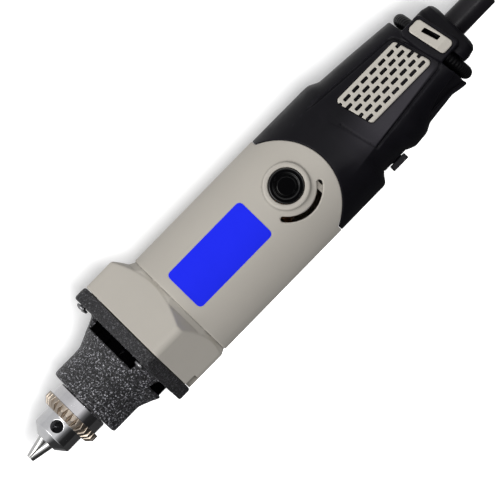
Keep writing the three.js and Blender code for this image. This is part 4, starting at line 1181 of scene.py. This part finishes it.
def jaw_line(turn):
    """A point on the jaw's axis and the axis direction, leaning out towards +x."""
    _, out_y, out_z = across(turn)
    cos, sin = math.cos(JAW_SLOPE), math.sin(JAW_SLOPE)
    return (JAW_TIP_X, out_y * -0.47, out_z * -0.47), (cos, out_y * sin, out_z * sin)


def chuck_body(x, y, z):
    radius = hyp(y, z)
    shape = round_poly(x, radius, CHUCK_BODY, 0.25)
    for turn in JAW_TURNS:
        jaw_r, _ = rod(x, y, z, *jaw_line(turn))
        shape = cut(shape, jaw_r - 2.6, fillet=0.2)
    # key holes lie between the jaws
    for turn in JAW_TURNS:
        hole_r, out = rod(x, y, z, (-54.4, 0, 0), across(turn - 60))
        shape = cut(shape, overlap(hole_r - 3.0, 5.6 - out + hole_r * 0.9), fillet=0.35)
    return cut(shape, overlap(radius - 4.3, -44.8 - x))


def toothed_sleeve(x, y, z):
    radius = hyp(y, z)
    shape = round_poly(x, radius, SLEEVE, 0.12)
    away = wrapped(azimuth(y, z), 2 * math.pi / SLEEVE_TEETH)
    root = 12.0 + (x + 50.4) * 0.50
    valley = np.abs(radius * np.sin(away)) * 0.88 - (radius - root) * 0.46
    return cut(shape, valley, fillet=0.12)


def jaw(turn):
    _, out_y, out_z = across(turn)
    _, side_y, side_z = across(turn + 90)

    def field(x, y, z):
        jaw_r, _ = rod(x, y, z, *jaw_line(turn))
        shape = drum(jaw_r, 2.3, x, JAW_TIP_X, -51.5, fillet=0.25)
        # two faces at 120 degrees meet at the chuck's axis
        outward = y * out_y + z * out_z - 0.3
        sideways = y * side_y + z * side_z
        return overlap(shape, np.abs(sideways) * 0.5 - outward * 0.866, fillet=0.12)
    return field


sculpt("chuck_nose_body", chuck_body, (-63.1, -11, -11), (-38.8, 11, 11), 0.2,
       "rotor", "chrome", "chuck_body", true_normals=True)
sculpt("chuck_toothed_sleeve", toothed_sleeve, (-50.4, -15.1, -15.1), (-38.5, 15.1, 15.1), 0.2,
       "chuck_collar", "sleeve_steel", "chuck_sleeve", true_normals=True)
for i, turn in enumerate(JAW_TURNS, 1):
    _, out_y, out_z = across(turn)
    low = (-73.6, min(0, out_y * 8) - 3.0, min(0, out_z * 8) - 3.0)
    high = (-51.4, max(0, out_y * 8) + 3.0, max(0, out_z * 8) + 3.0)
    sculpt(f"chuck_jaw_{i}_ground", jaw(turn), low, high, 0.14,
           f"jaw_{i}", "jaw_steel", f"chuck_jaw_{i}", true_normals=True)

# ------------------------------------------------------------------ screws
SCREW_BOX = 3.1  # half-width of the box each screw is meshed in
THREAD_PITCH = 0.9


def pan_screw(start, centre, head_r, head_h, shank_r, length):
    """A cross-slotted screw; the field takes the place along it and two across it."""
    def field(along, a, b):
        t, a, b = along - start, a - centre[0], b - centre[1]
        radius = hyp(a, b)
        head = drum(radius, head_r, t, 0, head_h, fillet=0.5)
        dome = hyp(radius, (t - head_h) * 1.9) - head_r * 1.18
        head = overlap(head, dome, fillet=0.3)
        cross = union(overlap(np.abs(a) - 0.42, np.abs(b) - 1.9),
                      overlap(np.abs(b) - 0.42, np.abs(a) - 1.9))
        head = cut(head, overlap(cross, t - 1.25 + radius * 0.35), fillet=0.12)
        thread = 0.10 * np.cos((t * (2 * math.pi / THREAD_PITCH)) + np.arctan2(a, b))
        shank = overlap(radius - shank_r + thread, slab(t, head_h - 0.3, length))
        return union(head, shank, fillet=0.2)
    return field


for i, (y, z) in enumerate(SCREW_PLACES, 1):
    screw = pan_screw(-9.3, (y, z), head_r=3.05, head_h=1.9, shank_r=1.65, length=20.2)
    sculpt(f"flange_screw_{i}_panhead", screw, (-9.4, y - SCREW_BOX, z - SCREW_BOX),
           (11, y + SCREW_BOX, z + SCREW_BOX), 0.16,
           "casing", "screw_steel", f"flange_screw_{i}")
for i, (x, y) in enumerate(HANDLE_SCREWS, 1):
    screw = pan_screw(-18.6, (x, y), head_r=3.0, head_h=2.0, shank_r=1.35, length=27.6)
    sculpt(f"handle_screw_{i}_panhead", lambda x, y, z: screw(z, x, y),
           (x - SCREW_BOX, y - SCREW_BOX, -18.7), (x + SCREW_BOX, y + SCREW_BOX, 9.1), 0.2,
           "casing", "screw_steel", f"handle_screw_{i}")

# ------------------------------------------------------------------ CAD nodes kept as they are
CARRIED = {
    "steel": [
        "spindle", "front_bearing_inner", "front_bearing_outer", "rear_bearing_inner",
        "rear_bearing_outer", "front_bearing_circlip", "chuck_nut",
        "brush_spring_top", "brush_spring_bottom",
    ],
    "iron": ["stator_core", "armature_core"],
    "copper": ["field_coil_top", "field_coil_bottom", "armature_winding", "commutator"],
    "black_plastic": ["air_baffle", "switch_body"],
    "cord_rubber": ["rear_bearing_bush"],
    "brass": ["brush_holder_top", "brush_holder_bottom"],
    "carbon": ["carbon_brush_top", "carbon_brush_bottom"],
    "board": ["control_board", "dial_track_ring"],
    "film": ["board_capacitor"],
    "aluminium": ["triac_heatsink"],
    "nylon": ["cord_clamp"],
    "screw_steel": ["clamp_screw_1", "clamp_screw_2"],
}
for key, names in CARRIED.items():
    material = SURFACES[key].owner
    for name in names:
        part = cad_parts[name]
        if isinstance(part, str):
            part = bpy.data.objects[part]
        for slot in part.material_slots:
            slot.link = "OBJECT"
            slot.material = material
        if not part.material_slots:
            part.data.materials.append(material)

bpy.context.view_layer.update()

# ------------------------------------------------------------------ floor (metres from here on)
FLOOR_Z = -0.0385
MIDDLE_X = 0.064 + DATUM[0]  # the middle of the tool, which the lights aim at
CAMERA_ROLL = math.radians(45.64)
CAMERA_HEIGHT = 6.0
HALF_VIEW = 0.11375  # half the width seen at the spindle's height
LIGHT_DISTANCE = 1.3


def floor_material():
    """White to the camera; other rays see a floor that suits the tool's reflections."""
    graph = Graph(bpy.data.materials.new("studio_floor"))

    def emission(strength):
        return graph.node("Emission", {1: strength}).outputs[0]

    def mix_shader(factor, a, b):
        return graph.node("MixShader", {0: factor, 1: a, 2: b}).outputs[0]

    diffuse = graph.node("BsdfDiffuse", {0: (0.80, 0.80, 0.80, 1)}).outputs[0]
    lit = graph.node("AddShader", {0: diffuse, 1: emission(0.25)}).outputs[0]
    # what glossy rays see: dark on the switch side, brighter towards +y
    position = graph.node("NewGeometry").outputs["Position"]
    y = graph.node("SeparateXYZ", {0: position}).outputs[1]
    brightness = graph.map_range(y, from_min=-0.03 + DATUM[1], from_max=0.02 + DATUM[1],
                                 to_min=0.04, to_max=0.62)
    rays = graph.node("LightPath").outputs
    reflected = mix_shader(rays["Is Glossy Ray"], emission(0.42), emission(brightness))
    shader = mix_shader(rays["Is Camera Ray"], reflected, lit)
    graph.node("OutputMaterial", {0: shader})
    return graph.owner


bpy.ops.mesh.primitive_plane_add(size=6, location=(MIDDLE_X, DATUM[1], FLOOR_Z))
floor = bpy.context.object
floor.name = "floor"
floor.data.materials.append(floor_material())

# ------------------------------------------------------------------ lights


def area_light(name, direction, size, power, colour=(1, 1, 1)):
    """A square light seen from the tool in the given direction."""
    data = bpy.data.lights.new(name, "AREA")
    data.shape = "RECTANGLE"
    data.size = size
    data.size_y = size
    data.energy = power
    data.color = colour
    light = bpy.data.objects.new(name, data)
    target = Vector((MIDDLE_X, DATUM[1], 0))
    light.location = target + Vector(direction).normalized() * LIGHT_DISTANCE
    light.rotation_euler = (target - light.location).to_track_quat("-Z", "Y").to_euler()
    bpy.context.scene.collection.objects.link(light)
    return light


def camera_direction(right, up, out):
    """World direction from the camera's right and up, and out towards the camera."""
    cos, sin = math.cos(CAMERA_ROLL), math.sin(CAMERA_ROLL)
    return (cos * right + sin * up, -sin * right + cos * up, out)


key = area_light("key", (-0.70, 0.42, 1.0), size=0.8, power=7.0, colour=(1.0, 0.99, 0.97))
glint = area_light("glint", (0.10, -0.16, 1.0), size=0.12, power=1.0)
shadow = area_light("shadow", camera_direction(right=0.13, up=-0.11, out=1.0),
                    size=0.45, power=26.0)
# one light falls on the floor alone, the others on all but the floor
floor_only = bpy.data.collections.new("floor_only")
floor_only.objects.link(floor)
shadow.light_linking.receiver_collection = floor_only
not_floor = bpy.data.collections.new("not_floor")
not_floor.objects.link(floor)
not_floor.collection_objects[0].light_linking.link_state = "EXCLUDE"
key.light_linking.receiver_collection = not_floor
glint.light_linking.receiver_collection = not_floor

# ------------------------------------------------------------------ world
# (position from +y to -y, brightness): a strip light with a dark flag beside it for mirror-like
# parts, and an even tent for the rest
SHARP_SKY = [
    (0.0, 0.80), (0.14, 0.85), (0.26, 1.05), (0.62, 1.05),
    (0.70, 0.60), (0.80, 0.18), (0.90, 0.03), (1.0, 0.02),
]
EVEN_SKY = [(0.0, 0.86), (0.5, 0.69), (1.0, 0.66)]


def build_world():
    world = bpy.data.worlds.new("studio")
    bpy.context.scene.world = world
    graph = Graph(world)
    direction = graph.node("TexCoord").outputs["Generated"]
    split = graph.node("SeparateXYZ", {0: direction})
    towards_switch = graph.math("MULTIPLY_ADD", split.outputs[1], -0.5, 0.5)

    def sky(stops):
        return graph.ramp(towards_switch, [(place, (v, v, v * 1.01, 1)) for place, v in stops])

    # the tent is a little brighter ahead of the chuck
    ahead = graph.math("MULTIPLY_ADD", split.outputs[0], -0.55, 1.0)
    tent = graph.mix(1.0, sky(EVEN_SKY), ahead, mode="MULTIPLY")
    glossy = graph.node("LightPath").outputs["Is Glossy Ray"]
    colour = graph.mix(glossy, tent, sky(SHARP_SKY))
    background = graph.node("Background", {0: colour, 1: 0.70})
    graph.node("OutputWorld", {0: background.outputs[0]})


build_world()

# ------------------------------------------------------------------ camera
camera_data = bpy.data.cameras.new("camera")
camera = bpy.data.objects.new("camera", camera_data)
bpy.context.scene.collection.objects.link(camera)
camera_data.sensor_width = 36
camera_data.angle = 2 * math.atan(HALF_VIEW / CAMERA_HEIGHT)
camera_data.clip_end = 20
camera.location = (0.0643 + DATUM[0], -0.0053 + DATUM[1], CAMERA_HEIGHT)
camera.rotation_euler = (0, 0, -CAMERA_ROLL)
bpy.context.scene.camera = camera
bpy.context.scene.view_settings.view_transform = "Standard"
bpy.context.scene.view_settings.look = "None"
